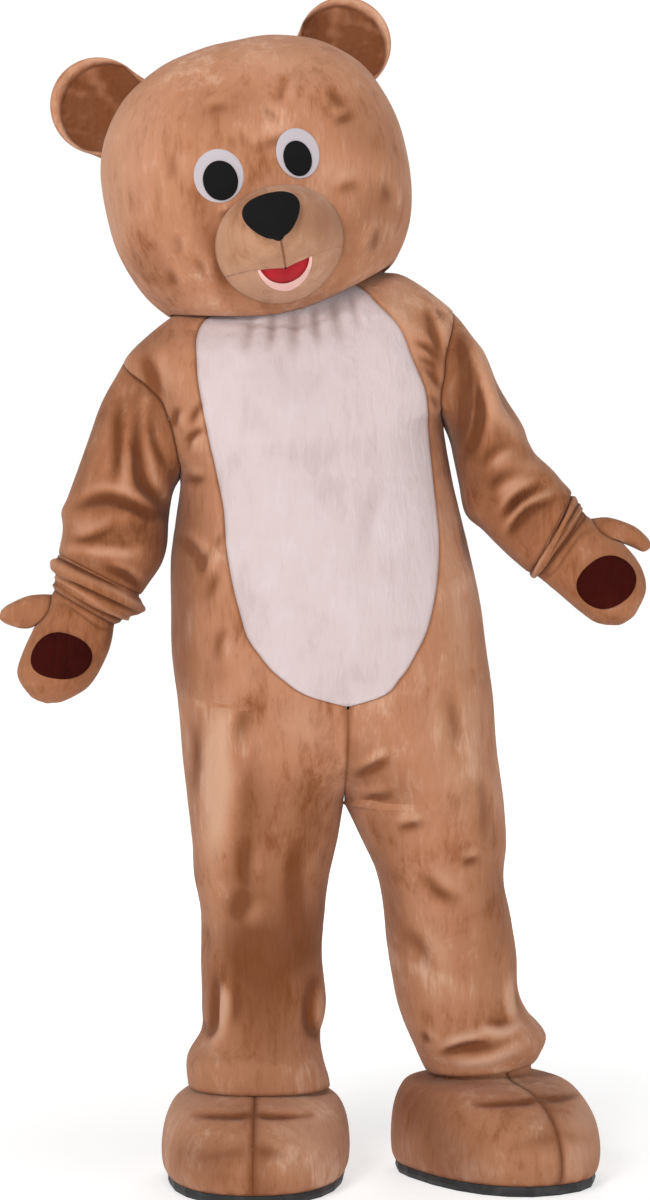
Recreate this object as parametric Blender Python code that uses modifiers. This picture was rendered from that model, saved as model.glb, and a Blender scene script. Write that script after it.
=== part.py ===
"""Teddy bear costume: a worn, hollow plush suit with a foam-backed head, mitts and shoes.

Metres, +Z up, the front faces -Y. Left and right are those of someone facing the costume.
The origin is the middle of the wearer's shoulder line. Lengths in the tables are in millimetres.
"""
import math

import bmesh
import bpy
import numpy as np
from mathutils import Matrix, Vector

MM = 0.001

# Walls and gaps
PLUSH = 3.0 * MM
HEAD_WALL = 8.0 * MM
MUZZLE_EDGE = 2.5 * MM
SHOE_WALL = 5.0 * MM
SEAM = 0.3 * MM
SEAM_EDGE = 1.0 * MM
CLEAR = 0.4 * MM
FLOOR = -1.380

# Fullness of the rings: 1 is an ellipse, less is squarer
ROUND = 0.87

# The head in its own turned frame
HEAD_CENTRE = Vector((-0.053, 0.0, 0.257))
HEAD_ROLL = math.radians(14.5)
HEAD_YAW = math.radians(3.0)
HEAD_TURN = Matrix.Rotation(HEAD_YAW, 3, "Z") @ Matrix.Rotation(-HEAD_ROLL, 3, "Y")
HEAD_HALF = 0.252
HEAD_UP = 0.229
HEAD_DOWN = 0.248
HEAD_FRONT = 0.225
HEAD_BACK = 0.232
HEAD_POWER = 2.35
RIM_FRONT = -0.231
RIM_LEFT = -0.180
RIM_RIGHT = -0.188
RIM_BACK = -0.222
HEAD_LEVELS = (0, 0.08, 0.17, 0.28, 0.4, 0.52, 0.65, 0.77, 0.88, 0.96, 0.996)
HEAD_COLUMNS = 13

# Muzzle and mouth, in the head's own x and z
MUZZLE_X = 0.0
MUZZLE_Z = -0.128
MUZZLE_HALF = 0.104
MUZZLE_HIGH = 0.086
MUZZLE_LOW = 0.091
MUZZLE_RISE = 0.088
MOUTH = (-0.003, -0.173)
SMILE = math.radians(9)
MOUTH_HALF = 0.040
MOUTH_DROP = 0.021
LIP_HALF = 0.045
LIP_DROP = 0.031
MOUTH_SINK = 4 * MM
MOUTH_FELT = 3 * MM
LIP_PROUD = 1.5 * MM
LIP_FELT = 7 * MM
NOSE_END = -0.130

# Felt on the face, in the head's own x and z
NOSE_AT = (-0.006, -0.097)
NOSE_HALF_X = 0.040
NOSE_HALF_Z = 0.031
NOSE_CORNERS = 0.11
NOSE_LIFT = 3.0 * MM
# Columns: side, white_at, white_x, white_z, pupil_at, pupil_x, pupil_z
EYES = (
    ("left", (-0.068, -0.007), 0.039, 0.042, (-0.067, -0.015), 0.027, 0.031),
    ("right", (0.061, -0.003), 0.034, 0.040, (0.058, -0.011), 0.022, 0.028),
)
# The felt eyes lie just clear of the head's true curve
EYE_LIFT = 0.3 * MM
# Rings of each felt piece from its edge in: share of its radius, height in mm
DISC_COLUMNS = ("reach", "height")
WHITE_RINGS = ((1.0, 1.6), (0.85, 2.4), (0.45, 2.4), (0.08, 2.4))
PUPIL_RINGS = ((1.0, 1.5), (0.8, 3.4), (0.45, 3.6), (0.08, 3.6))
NOSE_RINGS = ((1.0, 5.0), (0.85, 11.0), (0.5, 14.0))

# Ears: directions from the head's middle, then distance and radius of the rim's circle
EARS = (
    {"side": "left", "towards": math.radians(140), "middle": 0.287, "radius": 0.079, "seat": 0.5 * MM},
    {"side": "right", "towards": math.radians(43), "middle": 0.272, "radius": 0.077, "seat": 0.3 * MM},
)
EAR_SPAN = math.radians(17)
EAR_SWEEP = math.radians(106)
EAR_BACK = 0.026
EAR_DISH = 0.020
EAR_WALL = 4 * MM

# Rings of the suit from the neck down, one side of the body each, in mm
# outer = side seam, inner = centre line or inner leg seam, turn = ring angle at the inner end
# Columns: outer_x, outer_z, inner_x, inner_z, middle_y, front, back, turn
LEFT_BODY = (
    (-99, 63, 2, 42, 0, 88, 92, 90),
    (-150, 50, 0, 13, 0, 106, 112, 90),
    (-203, 25.8, 0, 0, 0, 124, 132, 90),
    (-271, -41, 2, -30, 0, 145, 152, 90),
    (-255, -94, 7, -73, 0, 158, 158, 90),
    (-225, -155, 17, -119, 0, 167, 160, 90),
    (-200, -208, 25, -165, 0, 173, 160, 90),
    (-178, -231, 33, -198, 0, 176, 160, 90),
    (-185, -300, 50, -272, 0, 183, 160, 90),
    (-193, -366, 61, -353, 0, 192, 163, 90),
    (-193, -449, 73, -442, 0, 197, 168, 90),
    (-191, -515, 86, -513, 0, 195, 174, 90),
    (-182, -599, 97, -601, 0, 182, 180, 90),
    (-173, -683, 96, -683, 0, 165, 182, 108),
    (-165, -766, 92, -766, 0, 146, 172, 180),
    (-157, -828, 81, -828, 0, 132, 150, 180),
    (-155, -884, 69, -884, 0, 124, 138, 180),
    (-145, -941, 61, -941, 0, 116, 128, 180),
    (-144, -1010, 56, -1010, 0, 108, 116, 180),
    (-142, -1092, 63, -1092, 0, 104, 110, 180),
    (-144, -1140, 54, -1142, 0, 108, 112, 180),
    (-167, -1185, 58, -1185, 0, 118, 122, 180),
    (-165, -1231, 71, -1231, 0, 112, 116, 180),
)
RIGHT_BODY = (
    (102, 116, 2, 42, 0, 88, 92, 90),
    (152, 109, 0, 13, 0, 106, 112, 90),
    (198, 99, 0, 0, 0, 124, 132, 90),
    (271, 43, 2, -30, 0, 145, 152, 90),
    (290, -12, 7, -73, 0, 158, 158, 90),
    (294, -66, 17, -119, 0, 167, 160, 90),
    (277, -109, 25, -165, 0, 173, 160, 90),
    (256, -139, 33, -198, 0, 176, 160, 90),
    (271, -239, 50, -272, 0, 183, 160, 90),
    (297, -342, 61, -353, 0, 192, 163, 90),
    (317, -441, 73, -442, 0, 197, 168, 90),
    (327, -515, 86, -513, 0, 195, 174, 90),
    (338, -599, 97, -601, 0, 182, 180, 90),
    (345, -683, 96, -683, 0, 165, 182, 108),
    (355, -767, 92, -766, 0, 146, 172, 180),
    (360, -833, 122, -828, 4, 132, 150, 180),
    (356, -894, 145, -881, 10, 124, 138, 180),
    (368, -954, 157, -937, 16, 116, 128, 180),
    (378, -1016, 163, -1003, 24, 108, 116, 180),
    (381, -1076, 177, -1082, 32, 104, 110, 180),
    (398, -1114, 190, -1129, 38, 108, 112, 180),
    (429, -1155, 208, -1172, 44, 116, 120, 180),
    (414, -1196, 228, -1214, 48, 100, 104, 180),
)
SHOULDER_ROW = 3
UNDERARM_ROW = 7
ARMHOLE_TURN = 32
CROTCH_ROW = 14
CENTRE_FADE = 0.1
BODY_ROWS = (0, 1, 1.5, 2, 2.5, 3, 3.2, 3.7, 4.3, 5, 5.7, 6.3, 6.8, 7, 8, 9, 10, 11, 11.5, 11.87, 12,
             12.5, 13, 13.5, 14, 15, 16, 17, 18, 19, 20, 21, 21.5, 22)
TUMMY_END = 12
PANEL_COLUMNS = 7
TUMMY_PANEL_COLUMNS = 10

# Edge of the tummy panel: how far it lies from the side seam to the centre line, at each row
TUMMY_COLUMNS = ("row", "left", "right")
TUMMY = (
    (0, 0.15, 0.15),
    (1, 0.22, 0.20),
    (2, 0.31, 0.28),
    (3, 0.457, 0.317),
    (4, 0.427, 0.300),
    (5, 0.376, 0.256),
    (6, 0.338, 0.194),
    (7, 0.289, 0.121),
    (8, 0.352, 0.150),
    (9, 0.383, 0.220),
    (10, 0.435, 0.338),
    (11, 0.518, 0.493),
    (11.5, 0.635, 0.632),
    (11.87, 0.83, 0.815),
    (12, 0.985, 0.985),
)

# Rings along the sleeves, in mm: outer = arm's outside, inner = its underside
# Columns: outer_x, outer_z, inner_x, inner_z, middle_y, front, back
LEFT_SLEEVE = (
    (-304, -106, -190, -257, -12, 92, 92),
    (-327, -168, -196, -300, -22, 95, 92),
    (-345, -224, -198, -342, -28, 95, 90),
    (-363, -279, -208, -376, -30, 90, 86),
    (-371, -333, -231, -409, -30, 80, 78),
    (-376, -356, -241, -424, -30, 76, 75),
)
RIGHT_SLEEVE = (
    (304, -3, 268, -172, -12, 92, 90),
    (332, -56, 274, -205, -20, 92, 90),
    (361, -106, 281, -241, -26, 90, 88),
    (386, -149, 292, -290, -30, 86, 84),
    (396, -182, 320, -318, -32, 80, 78),
    (426, -213, 353, -351, -34, 76, 74),
    (465, -254, 394, -388, -35, 73, 72),
)

# Gathered cuffs from the sleeve end to the wrist, then the mitts to the fingertips, in the same columns
LEFT_CUFF = (
    (-379, -361, -241, -431, -30, 70, 68),
    (-388, -378, -238, -452, -30, 78, 76),
    (-378, -394, -259, -459, -30, 62, 60),
    (-385, -405, -271, -467, -30, 60, 58),
    (-382, -415, -284, -472, -30, 50, 50),
)
RIGHT_CUFF = (
    (466, -262, 396, -388, -35, 68, 66),
    (478, -272, 404, -397, -35, 72, 70),
    (480, -283, 405, -391, -35, 60, 58),
    (488, -293, 408, -393, -35, 52, 52),
)
LEFT_MITT = (
    (-382, -415, -284, -472, -30, 50, 50),
    (-408, -462, -290, -505, -32, 54, 52),
    (-431, -512, -304, -541, -34, 54, 50),
    (-442, -554, -325, -574, -35, 45, 42),
    (-422, -589, -356, -594, -36, 27, 25),
    (-399, -601, -379, -602, -37, 6, 6),
)
RIGHT_MITT = (
    (488, -293, 408, -393, -35, 52, 52),
    (535, -327, 434, -414, -37, 54, 52),
    (574, -370, 469, -444, -39, 54, 50),
    (586, -412, 503, -469, -40, 45, 42),
    (571, -449, 533, -474, -41, 27, 25),
    (559, -465, 547, -471, -42, 6, 6),
)
LEFT_THUMB = (
    (-424, -424, -426, -479, -33, 25, 25),
    (-452, -436, -441, -478, -34, 22, 22),
    (-467, -447, -461, -471, -34, 13, 13),
    (-472, -458, -471, -464, -34, 3, 3),
)
RIGHT_THUMB = (
    (526, -297, 561, -345, -37, 25, 25),
    (564, -310, 580, -354, -38, 22, 22),
    (585, -326, 590, -350, -38, 13, 13),
    (594, -338, 595, -343, -38, 3, 3),
)
THUMB_ROW = 0.72
THUMB_REACH = 0.56
THUMB_TURN = 36
MITT_LEVELS = (1.8, 2.4, 3.0, 3.6, 4.2, 4.8, 5.0)
THUMB_LEVELS = (0, 0.7, 1.4, 2, 3, 4)
THUMB_SIDES = 12
# Round pad on the palm: its middle and half size, in quarters round the mitt and in rows along it
PAD = {"quarter": 0.49, "row": 1.95, "half_quarter": 0.27, "half_row": 0.78}
PAD_RINGS = ((1.0, 2.2), (0.8, 3.4), (0.45, 3.8), (0.12, 3.8))
PAD_SIDES = 16

# Zip down the centre back: half a tape's width as a share of a quarter of the suit, heights in mm
ZIP_ROWS = (2, 11)
ZIP_COLUMNS = ("place", "height")
ZIP_TAPE = ((-0.045, 2.0), (-0.011, 2.0), (-0.009, 3.6), (0.009, 3.6), (0.011, 2.0), (0.045, 2.0))
ZIP_UNDER = 0.8 * MM
SLIDER_ROW = 2.3
SLIDER_SIZE = Vector((9, 14, 4)) * MM
SLIDER_EDGE = 1.2 * MM

# Shoes, in mm from the ankle's own middle, floor at 0 height
# Columns: height, half_width, toe, heel
SHOE_RINGS = (
    (158, 92, 94, 92),
    (146, 104, 112, 100),
    (138, 122, 146, 112),
    (122, 138, 188, 124),
    (94, 149, 224, 134),
    (60, 154, 240, 138),
    (32, 153, 242, 136),
    (15, 147, 236, 130),
)
LEFT_SHOE = {"x": -0.052, "y": 0.0, "yaw": 0.0, "rise": 1.0, "ankle": 1.0}
RIGHT_SHOE = {"x": 0.325, "y": 0.048, "yaw": math.radians(28), "rise": 1.1, "ankle": 0.82}
ANKLE_RINGS = 2
SHOE_LEVELS = (0, 1, 2, 2.6, 3.2, 4, 5, 6, 7, 8)
COLLAR_ROW = 21.5
SOLE_IN = 4 * MM

# Broad folds, drawn as seen from the front, in mm: depth below 0 is a trough
# Columns: face, x1, z1, x2, z2, width, depth
BODY_FOLDS = (
    ("front", -205, -60, -214, -150, 26, -7),
    ("front", 190, -10, 262, -100, 24, -7),
    ("front", 205, 50, 250, -40, 20, -5),
    ("front", -225, -25, -205, -105, 20, -5),
    ("front", -90, -515, -118, -800, 34, 8),
    ("front", -68, -905, -120, -965, 30, -9),
    ("front", -150, -985, -70, -1010, 26, -6),
    ("front", 100, -730, 180, -690, 24, -7),
    ("front", 112, -770, 185, -757, 22, -6),
    ("front", 176, -820, 240, -800, 24, -6),
    ("front", 280, -875, 330, -865, 22, -6),
    ("front", -140, -1150, 40, -1160, 24, -8),
    ("front", 255, -1195, 350, -1175, 22, -8),
    ("front", 200, -1010, 340, -1030, 26, -6),
    ("back", -150, -640, 0, -690, 30, -8),
    ("back", 330, -650, 140, -700, 30, -8),
    ("back", -140, -880, 30, -900, 28, -8),
    ("back", 170, -890, 340, -905, 28, -8),
    ("back", -190, -440, 20, -470, 34, -7),
    ("back", 300, -430, 100, -470, 34, -7),
    ("back", -120, -1150, 50, -1160, 24, -8),
    ("back", 220, -1160, 370, -1140, 24, -8),
)
SLEEVE_FOLDS = (
    ("front", -275, -150, -240, -260, 20, -7),
    ("front", -215, -120, -205, -240, 18, -6),
    ("front", -360, -290, -220, -300, 18, -8),
    ("front", -350, -345, -260, -318, 16, -6),
    ("back", -360, -290, -230, -310, 20, -8),
    ("back", -300, -150, -230, -230, 22, -7),
    ("front", 290, -20, 290, -170, 20, -7),
    ("front", 320, -30, 330, -190, 18, -7),
    ("front", 322, -225, 380, -190, 18, -8),
    ("front", 345, -320, 420, -240, 18, -7),
    ("back", 330, -230, 400, -180, 20, -8),
    ("back", 300, -60, 300, -180, 22, -7),
)

# Colours
TAN = (0.48, 0.23, 0.12)
PALE_TAN = (0.62, 0.36, 0.22)
OFF_WHITE = (0.72, 0.62, 0.59)
MAROON = (0.045, 0.004, 0.004)
BLACK = (0.008, 0.007, 0.008)
WHITE = (0.80, 0.78, 0.76)
RED = (0.40, 0.02, 0.02)
PINK = (0.78, 0.45, 0.42)
ZIP_BROWN = (0.16, 0.07, 0.04)
STEEL = (0.30, 0.29, 0.28)


def clear_scene():
    for old in list(bpy.data.objects):
        bpy.data.objects.remove(old, do_unlink=True)


def make_material(name, colour, roughness, metallic=0.0):
    material = bpy.data.materials.new(name)
    material.use_nodes = True
    shader = material.node_tree.nodes["Principled BSDF"]
    shader.inputs["Base Color"].default_value = (*colour, 1.0)
    shader.inputs["Roughness"].default_value = roughness
    shader.inputs["Metallic"].default_value = metallic
    return material


def power(value, exponent):
    return np.sign(value) * np.abs(value) ** exponent


def along(rows, at):
    """Rows read from a smooth curve through them at any place, and straight past its ends."""
    rows = np.asarray(rows, dtype=float)
    last = len(rows) - 1
    start = np.clip(np.floor(at).astype(int), 0, last - 1)
    t = (at - start)[..., None]
    before = rows[np.clip(start - 1, 0, last)]
    here = rows[start]
    there = rows[start + 1]
    after = rows[np.clip(start + 2, 0, last)]
    slope_here = (there - before) / np.where(start > 0, 2, 1)[..., None]
    slope_there = (after - here) / np.where(start < last - 1, 2, 1)[..., None]
    inside = np.clip(t, 0, 1)
    past = t - inside
    curve = ((2 * inside**3 - 3 * inside**2 + 1) * here + (inside**3 - 2 * inside**2 + inside) * slope_here
             + (3 * inside**2 - 2 * inside**3) * there + (inside**3 - inside**2) * slope_there)
    return curve + past * np.where(past < 0, slope_here, slope_there)


def table(rows, names, name):
    return np.array([row[names.index(name)] for row in rows], dtype=float)


def fold_depth(points, folds, middle_y):
    """How far the folds lift or sink each point, by its distance from each fold's line."""
    total = np.zeros(points.shape[:-1])
    for face, x1, z1, x2, z2, width, depth in folds:
        start = np.array((x1, z1)) * MM
        run = np.array((x2, z2)) * MM - start
        flat = points[..., (0, 2)] - start
        place = np.clip((flat @ run) / (run @ run), 0, 1)
        distance = np.linalg.norm(flat - place[..., None] * run, axis=-1)
        side = -1 if face == "front" else 1
        facing = np.clip(side * (points[..., 1] - middle_y) / 0.05, 0, 1)
        total += depth * MM * facing * np.exp(-((distance / (width * MM)) ** 2))
    return total


class Skin:
    """A smooth outer surface: points from two parameters, and the normals that face out."""

    def __init__(self, points, probe, inside):
        self.points = points
        self.sign = 1.0
        u, v = (np.array([value]) for value in probe)
        out = self.points(u, v)[0] - np.asarray(inside)
        self.sign = 1.0 if self.normals(u, v)[0] @ out > 0 else -1.0

    def normals(self, u, v):
        step = 1e-4
        across = self.points(u + step, v) - self.points(u - step, v)
        down = self.points(u, v + step) - self.points(u, v - step)
        normal = np.cross(across, down)
        return self.sign * normal / np.linalg.norm(normal, axis=-1, keepdims=True)


def half_ring(rows, quarter, at, sag=2):
    """Points of one side of the suit: quarter 0 is the side seam, 1 the front centre or inner
    leg seam, -1 the same behind. sag above 1 lets the cloth fall from the shoulder first."""
    above = along(rows[:CROTCH_ROW + 1], np.minimum(at, CROTCH_ROW))
    place = above
    if len(rows) > CROTCH_ROW:
        below = along(rows[CROTCH_ROW:], np.maximum(at - CROTCH_ROW, 0))
        place = np.where((at <= CROTCH_ROW)[..., None], above, below)
    outer_x, outer_z, inner_x, inner_z, middle_y, front, back = (place[..., i] * MM for i in range(7))
    turn = np.clip(place[..., 7], 90, 180)
    angle = np.radians(quarter * turn)
    reach = (inner_x - outer_x) / (1 - power(np.cos(np.radians(turn)), ROUND))
    share = (1 - power(np.cos(angle), ROUND)) / (1 - power(np.cos(np.radians(turn)), ROUND))
    x = outer_x + reach * (1 - power(np.cos(angle), ROUND))
    depth = np.where(np.sin(angle) > 0, front, back)
    y = middle_y - depth * power(np.sin(angle), ROUND)
    z = inner_z + (outer_z - inner_z) * (1 - share) ** sag
    return np.stack((x, y, z), axis=-1)


def side_skin(rows):
    def points(quarter, at):
        plain = half_ring(rows, quarter, at)
        step = 1e-3
        across = half_ring(rows, quarter + step, at) - half_ring(rows, quarter - step, at)
        down = half_ring(rows, quarter, at + step) - half_ring(rows, quarter, at - step)
        normal = np.cross(across, down) * (1 if rows[0][0] > 0 else -1)
        normal = normal / np.linalg.norm(normal, axis=-1, keepdims=True)
        fade = np.clip(np.abs(quarter % 2 - 1) / CENTRE_FADE, 0, 1)
        return plain + normal * (fade * fold_depth(plain, BODY_FOLDS, 0.0))[..., None]

    return Skin(points, (0.5, 10.0), (rows[10][2] * MM, 0.0, rows[10][3] * MM))


def front_skin(left, right):
    """Both sides as one: 0 is the left side seam, 1 the centre line, 2 the right side seam."""
    def points(across, at):
        on_left = left.points(np.minimum(across, 1.0), at)
        on_right = right.points(np.minimum(2.0 - across, 1.0), at)
        return np.where((across <= 1.0)[..., None], on_left, on_right)

    return Skin(points, (0.9, 9.0), (0.0, 0.0, -0.35))


def back_skin(left, right):
    def points(across, at):
        on_left = left.points(np.maximum(-across, -1.0), at)
        on_right = right.points(np.maximum(across - 2.0, -1.0), at)
        return np.where((across <= 1.0)[..., None], on_left, on_right)

    return Skin(points, (0.9, 9.0), (0.0, 0.0, -0.35))


def hole_rows(turn, middle, reach):
    """Row at each turn (0 to 1) round an oval hole, 0 is its top or near end."""
    return middle - reach * np.cos(2 * np.pi * turn)


def full_ring(row, turn):
    outer_x, outer_z, inner_x, inner_z, middle_y, front, back = (value * MM for value in row[:7])
    cosine = power(np.cos(2 * np.pi * turn), ROUND)
    sine = power(np.sin(2 * np.pi * turn), ROUND)
    x = (outer_x + inner_x) / 2 + (outer_x - inner_x) / 2 * cosine
    z = (outer_z + inner_z) / 2 + (outer_z - inner_z) / 2 * cosine
    y = middle_y - np.where(sine > 0, front, back) * sine
    return np.stack((x, y, z), axis=-1)


def limb_skin(rows, roots, folds=(), probe_row=2):
    """A closed tube through rings that starts with the loops in roots, such as a hole's edge."""
    def rings(turn):
        return np.stack([loop(turn) for loop in roots] + [full_ring(row, turn) for row in rows], axis=0)

    def plain(turn, at):
        loops = rings(turn)
        flat = loops.reshape(len(loops), -1)
        result = np.zeros(turn.shape + (3,))
        levels = np.broadcast_to(at, turn.shape)
        everything = along(flat, levels.ravel()).reshape(levels.size, -1, 3)
        picked = everything[np.arange(levels.size), np.arange(levels.size)]
        result[...] = picked.reshape(turn.shape + (3,))
        return result

    def points(turn, at):
        base = plain(turn, at)
        if not folds:
            return base
        step = 1e-3
        across = plain(turn + step, at) - plain(turn - step, at)
        down = plain(turn, at + step) - plain(turn, at - step)
        normal = np.cross(across, down) * (1 if rows[0][0] < 0 else -1)
        normal = normal / np.linalg.norm(normal, axis=-1, keepdims=True)
        fade = np.clip(at / 0.8, 0, 1) * np.clip((len(rows) - at) / 0.8, 0, 1)
        return base + normal * (fade * fold_depth(base, folds, -0.02))[..., None]

    middle = np.mean(full_ring(rows[probe_row], np.linspace(0, 1, 8, endpoint=False)), axis=0)
    return Skin(points, (0.25, probe_row + len(roots)), middle)


def body_object(name, vertices, faces, material):
    mesh = bpy.data.meshes.new(name)
    mesh.from_pydata([tuple(v) for v in vertices], [], faces)
    mesh.update()
    shape = bmesh.new()
    shape.from_mesh(mesh)
    bmesh.ops.recalc_face_normals(shape, faces=shape.faces)
    shape.to_mesh(mesh)
    shape.free()
    mesh.shade_smooth()
    mesh.set_sharp_from_angle(angle=math.radians(40))
    mesh.materials.append(material)
    part = bpy.data.objects.new(name, mesh)
    COSTUME.objects.link(part)
    return part


def wall(name, outer, inner, material, closed=False, capped=False):
    """A closed body between two grids of points, rows by columns.
    closed joins the last column to the first; capped closes the last row with one face."""
    rows, columns = outer.shape[:2]
    count = rows * columns
    vertices = np.concatenate((outer.reshape(-1, 3), inner.reshape(-1, 3)))
    faces = []

    def spot(row, column, layer):
        return layer * count + row * columns + column % columns

    spans = columns if closed else columns - 1
    for row in range(rows - 1):
        for column in range(spans):
            for layer in (0, 1):
                square = [spot(row, column, layer), spot(row, column + 1, layer),
                          spot(row + 1, column + 1, layer), spot(row + 1, column, layer)]
                faces.append(square if layer == 0 else square[::-1])
    for column in range(spans):
        faces.append([spot(0, column, 0), spot(0, column, 1), spot(0, column + 1, 1), spot(0, column + 1, 0)])
        if not capped:
            faces.append([spot(rows - 1, column + 1, 0), spot(rows - 1, column + 1, 1),
                          spot(rows - 1, column, 1), spot(rows - 1, column, 0)])
    if capped:
        faces.append([spot(rows - 1, column, 0) for column in range(columns)])
        faces.append([spot(rows - 1, column, 1) for column in range(columns)][::-1])
    if not closed:
        for row in range(rows - 1):
            faces.append([spot(row, 0, 0), spot(row + 1, 0, 0), spot(row + 1, 0, 1), spot(row, 0, 1)])
            faces.append([spot(row, columns - 1, 1), spot(row + 1, columns - 1, 1),
                          spot(row + 1, columns - 1, 0), spot(row, columns - 1, 0)])
    return body_object(name, vertices, faces, material)


def draw_in(outer, inner, closed):
    """Take half a seam's gap off every free edge of a grid."""
    moves = np.zeros_like(outer)

    def pull(edge, beside):
        step = outer[beside] - outer[edge]
        length = np.maximum(np.linalg.norm(step, axis=-1, keepdims=True), 1e-9)
        moves[edge] += step / length * SEAM / 2

    pull(np.s_[0, :], np.s_[1, :])
    pull(np.s_[-1, :], np.s_[-2, :])
    if not closed:
        pull(np.s_[:, 0], np.s_[:, 1])
        pull(np.s_[:, -1], np.s_[:, -2])
    return outer + moves, inner + moves


def panel(name, skin, u, v, thickness, material, closed=False, thin_start=False):
    """A piece of cloth on a skin. thin_start narrows its first row to a pressed seam's edge."""
    outer = skin.points(u, v)
    walls = np.full(u.shape, thickness)
    if thin_start:
        walls[0] = SEAM_EDGE
    inner = outer - skin.normals(u, v) * walls[..., None]
    outer, inner = draw_in(outer, inner, closed)
    return wall(name, outer, inner, material, closed)


def patch(name, skin, u, v, top, bottom, material, closed=False, capped=False):
    """A piece that lies on a skin: its points moved out to the heights top and bottom."""
    base = skin.points(u, v)
    normal = skin.normals(u, v)
    outer = base + normal * np.asarray(top)[..., None]
    inner = base + normal * np.asarray(bottom)[..., None]
    outer, inner = draw_in(outer, inner, closed)
    return wall(name, outer, inner, material, closed, capped)


def spread(low, high, columns):
    """Grid of parameters from one edge to the other, one row for each pair of edge values."""
    share = np.linspace(0, 1, columns)[None, :]
    return np.asarray(low)[:, None] * (1 - share) + np.asarray(high)[:, None] * share


def armhole_quarter(rows):
    share = np.clip((rows - (SHOULDER_ROW + UNDERARM_ROW) / 2) / ((UNDERARM_ROW - SHOULDER_ROW) / 2), -1, 1)
    return ARMHOLE_TURN / 90 * np.sqrt(1 - share**2)


def tummy_quarter(rows, side):
    share = np.interp(rows, table(TUMMY, TUMMY_COLUMNS, "row"), table(TUMMY, TUMMY_COLUMNS, side))
    return np.degrees(np.arccos((1 - share) ** (1 / ROUND))) / 90


def build_suit(left, right, plush, pale):
    rows = np.array(BODY_ROWS, dtype=float)
    for side, skin in (("left", left), ("right", right)):
        edge = np.where(rows <= TUMMY_END, tummy_quarter(rows, side), 1.0)
        levels = np.repeat(rows[:, None], PANEL_COLUMNS, axis=1)
        front = spread(armhole_quarter(rows), edge, PANEL_COLUMNS)
        panel("front_" + side, skin, front, levels, PLUSH, plush)
        back = spread(-armhole_quarter(rows), -np.ones(len(rows)), PANEL_COLUMNS)
        panel("back_" + side, skin, back, levels, PLUSH, plush)
    rows = rows[rows <= TUMMY_END]
    across = spread(tummy_quarter(rows, "left"), 2 - tummy_quarter(rows, "right"), TUMMY_PANEL_COLUMNS)
    levels = np.repeat(rows[:, None], TUMMY_PANEL_COLUMNS, axis=1)
    panel("tummy", front_skin(left, right), across, levels, PLUSH, pale)


def build_zip(left, right, tape, metal):
    skin = back_skin(left, right)
    rows = np.array([row for row in BODY_ROWS if ZIP_ROWS[0] <= row <= ZIP_ROWS[1]])
    heights = table(ZIP_TAPE, ZIP_COLUMNS, "height") * MM
    places = table(ZIP_TAPE, ZIP_COLUMNS, "place") + 1.0
    u = np.repeat(places[None, :], len(rows), axis=0)
    v = np.repeat(rows[:, None], len(places), axis=1)
    patch("back_zip", skin, u, v, np.repeat(heights[None, :], len(rows), axis=0),
          np.full(u.shape, ZIP_UNDER), tape)
    where = (np.array([1.0]), np.array([SLIDER_ROW]))
    normal = Vector(skin.normals(*where)[0])
    spot = Vector(skin.points(*where)[0])
    down = Vector(skin.points(where[0], where[1] + 0.01)[0]) - spot
    down = (down - normal * down.dot(normal)).normalized()
    side = down.cross(normal)
    bpy.ops.mesh.primitive_cube_add(size=1.0)
    slider = bpy.context.object
    slider.name = "zip_slider"
    slider.data.name = "zip_slider"
    turn = Matrix((side, down, normal)).transposed().to_4x4()
    lift = heights.max() + SEAM * 2 + SLIDER_SIZE.z / 2
    slider.data.transform(Matrix.Diagonal((*SLIDER_SIZE, 1.0)))
    slider.matrix_world = Matrix.Translation(spot + normal * lift) @ turn
    bevel = slider.modifiers.new("Rounded edges", "BEVEL")
    bevel.width = SLIDER_EDGE
    bevel.segments = 2
    slider.data.materials.append(metal)
    for owner in list(slider.users_collection):
        owner.objects.unlink(slider)
    COSTUME.objects.link(slider)


def armhole(skin):
    middle = (SHOULDER_ROW + UNDERARM_ROW) / 2
    reach = (UNDERARM_ROW - SHOULDER_ROW) / 2

    def loop(turn):
        rows = hole_rows(turn, middle, reach)
        return skin.points(ARMHOLE_TURN / 90 * np.sin(2 * np.pi * turn), rows)

    return loop


def armhole_turns():
    """Turns round the armhole that meet the body panels' own rows."""
    rows = np.array([row for row in BODY_ROWS if SHOULDER_ROW <= row <= UNDERARM_ROW])
    middle = (SHOULDER_ROW + UNDERARM_ROW) / 2
    half = np.arccos((middle - rows) / ((UNDERARM_ROW - SHOULDER_ROW) / 2)) / (2 * np.pi)
    return np.concatenate((half, 1 - half[-2:0:-1]))


def build_sleeve(side, rows, skin, plush):
    sleeve = limb_skin(rows, [armhole(skin)], SLEEVE_FOLDS)
    turns = armhole_turns()
    levels = np.linspace(0, len(rows), 2 * len(rows) - 1)
    u = np.repeat(turns[None, :], len(levels), axis=0)
    v = np.repeat(levels[:, None], len(turns), axis=1)
    panel("sleeve_" + side, sleeve, u, v, PLUSH, plush, closed=True, thin_start=True)
    return sleeve


def build_cuff(side, rows, sleeve, sleeve_rows, plush):
    """The gathered band starts inside the sleeve end, against its wall."""
    def inside_sleeve(row, clearance):
        def loop(turn):
            at = np.full(turn.shape, row)
            return sleeve.points(turn, at) - sleeve.normals(turn, at) * (PLUSH + clearance)

        return loop

    roots = [inside_sleeve(sleeve_rows - 0.5, 2 * CLEAR), inside_sleeve(sleeve_rows, 3 * CLEAR)]
    cuff = limb_skin(rows, roots, probe_row=2)
    turns = armhole_turns()
    levels = np.concatenate(((0.0,), np.arange(1, len(rows) + 1.1, 0.5)))
    u = np.repeat(turns[None, :], len(levels), axis=0)
    v = np.repeat(levels[:, None], len(turns), axis=1)
    panel("cuff_" + side, cuff, u, v, PLUSH, plush, closed=True)


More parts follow.
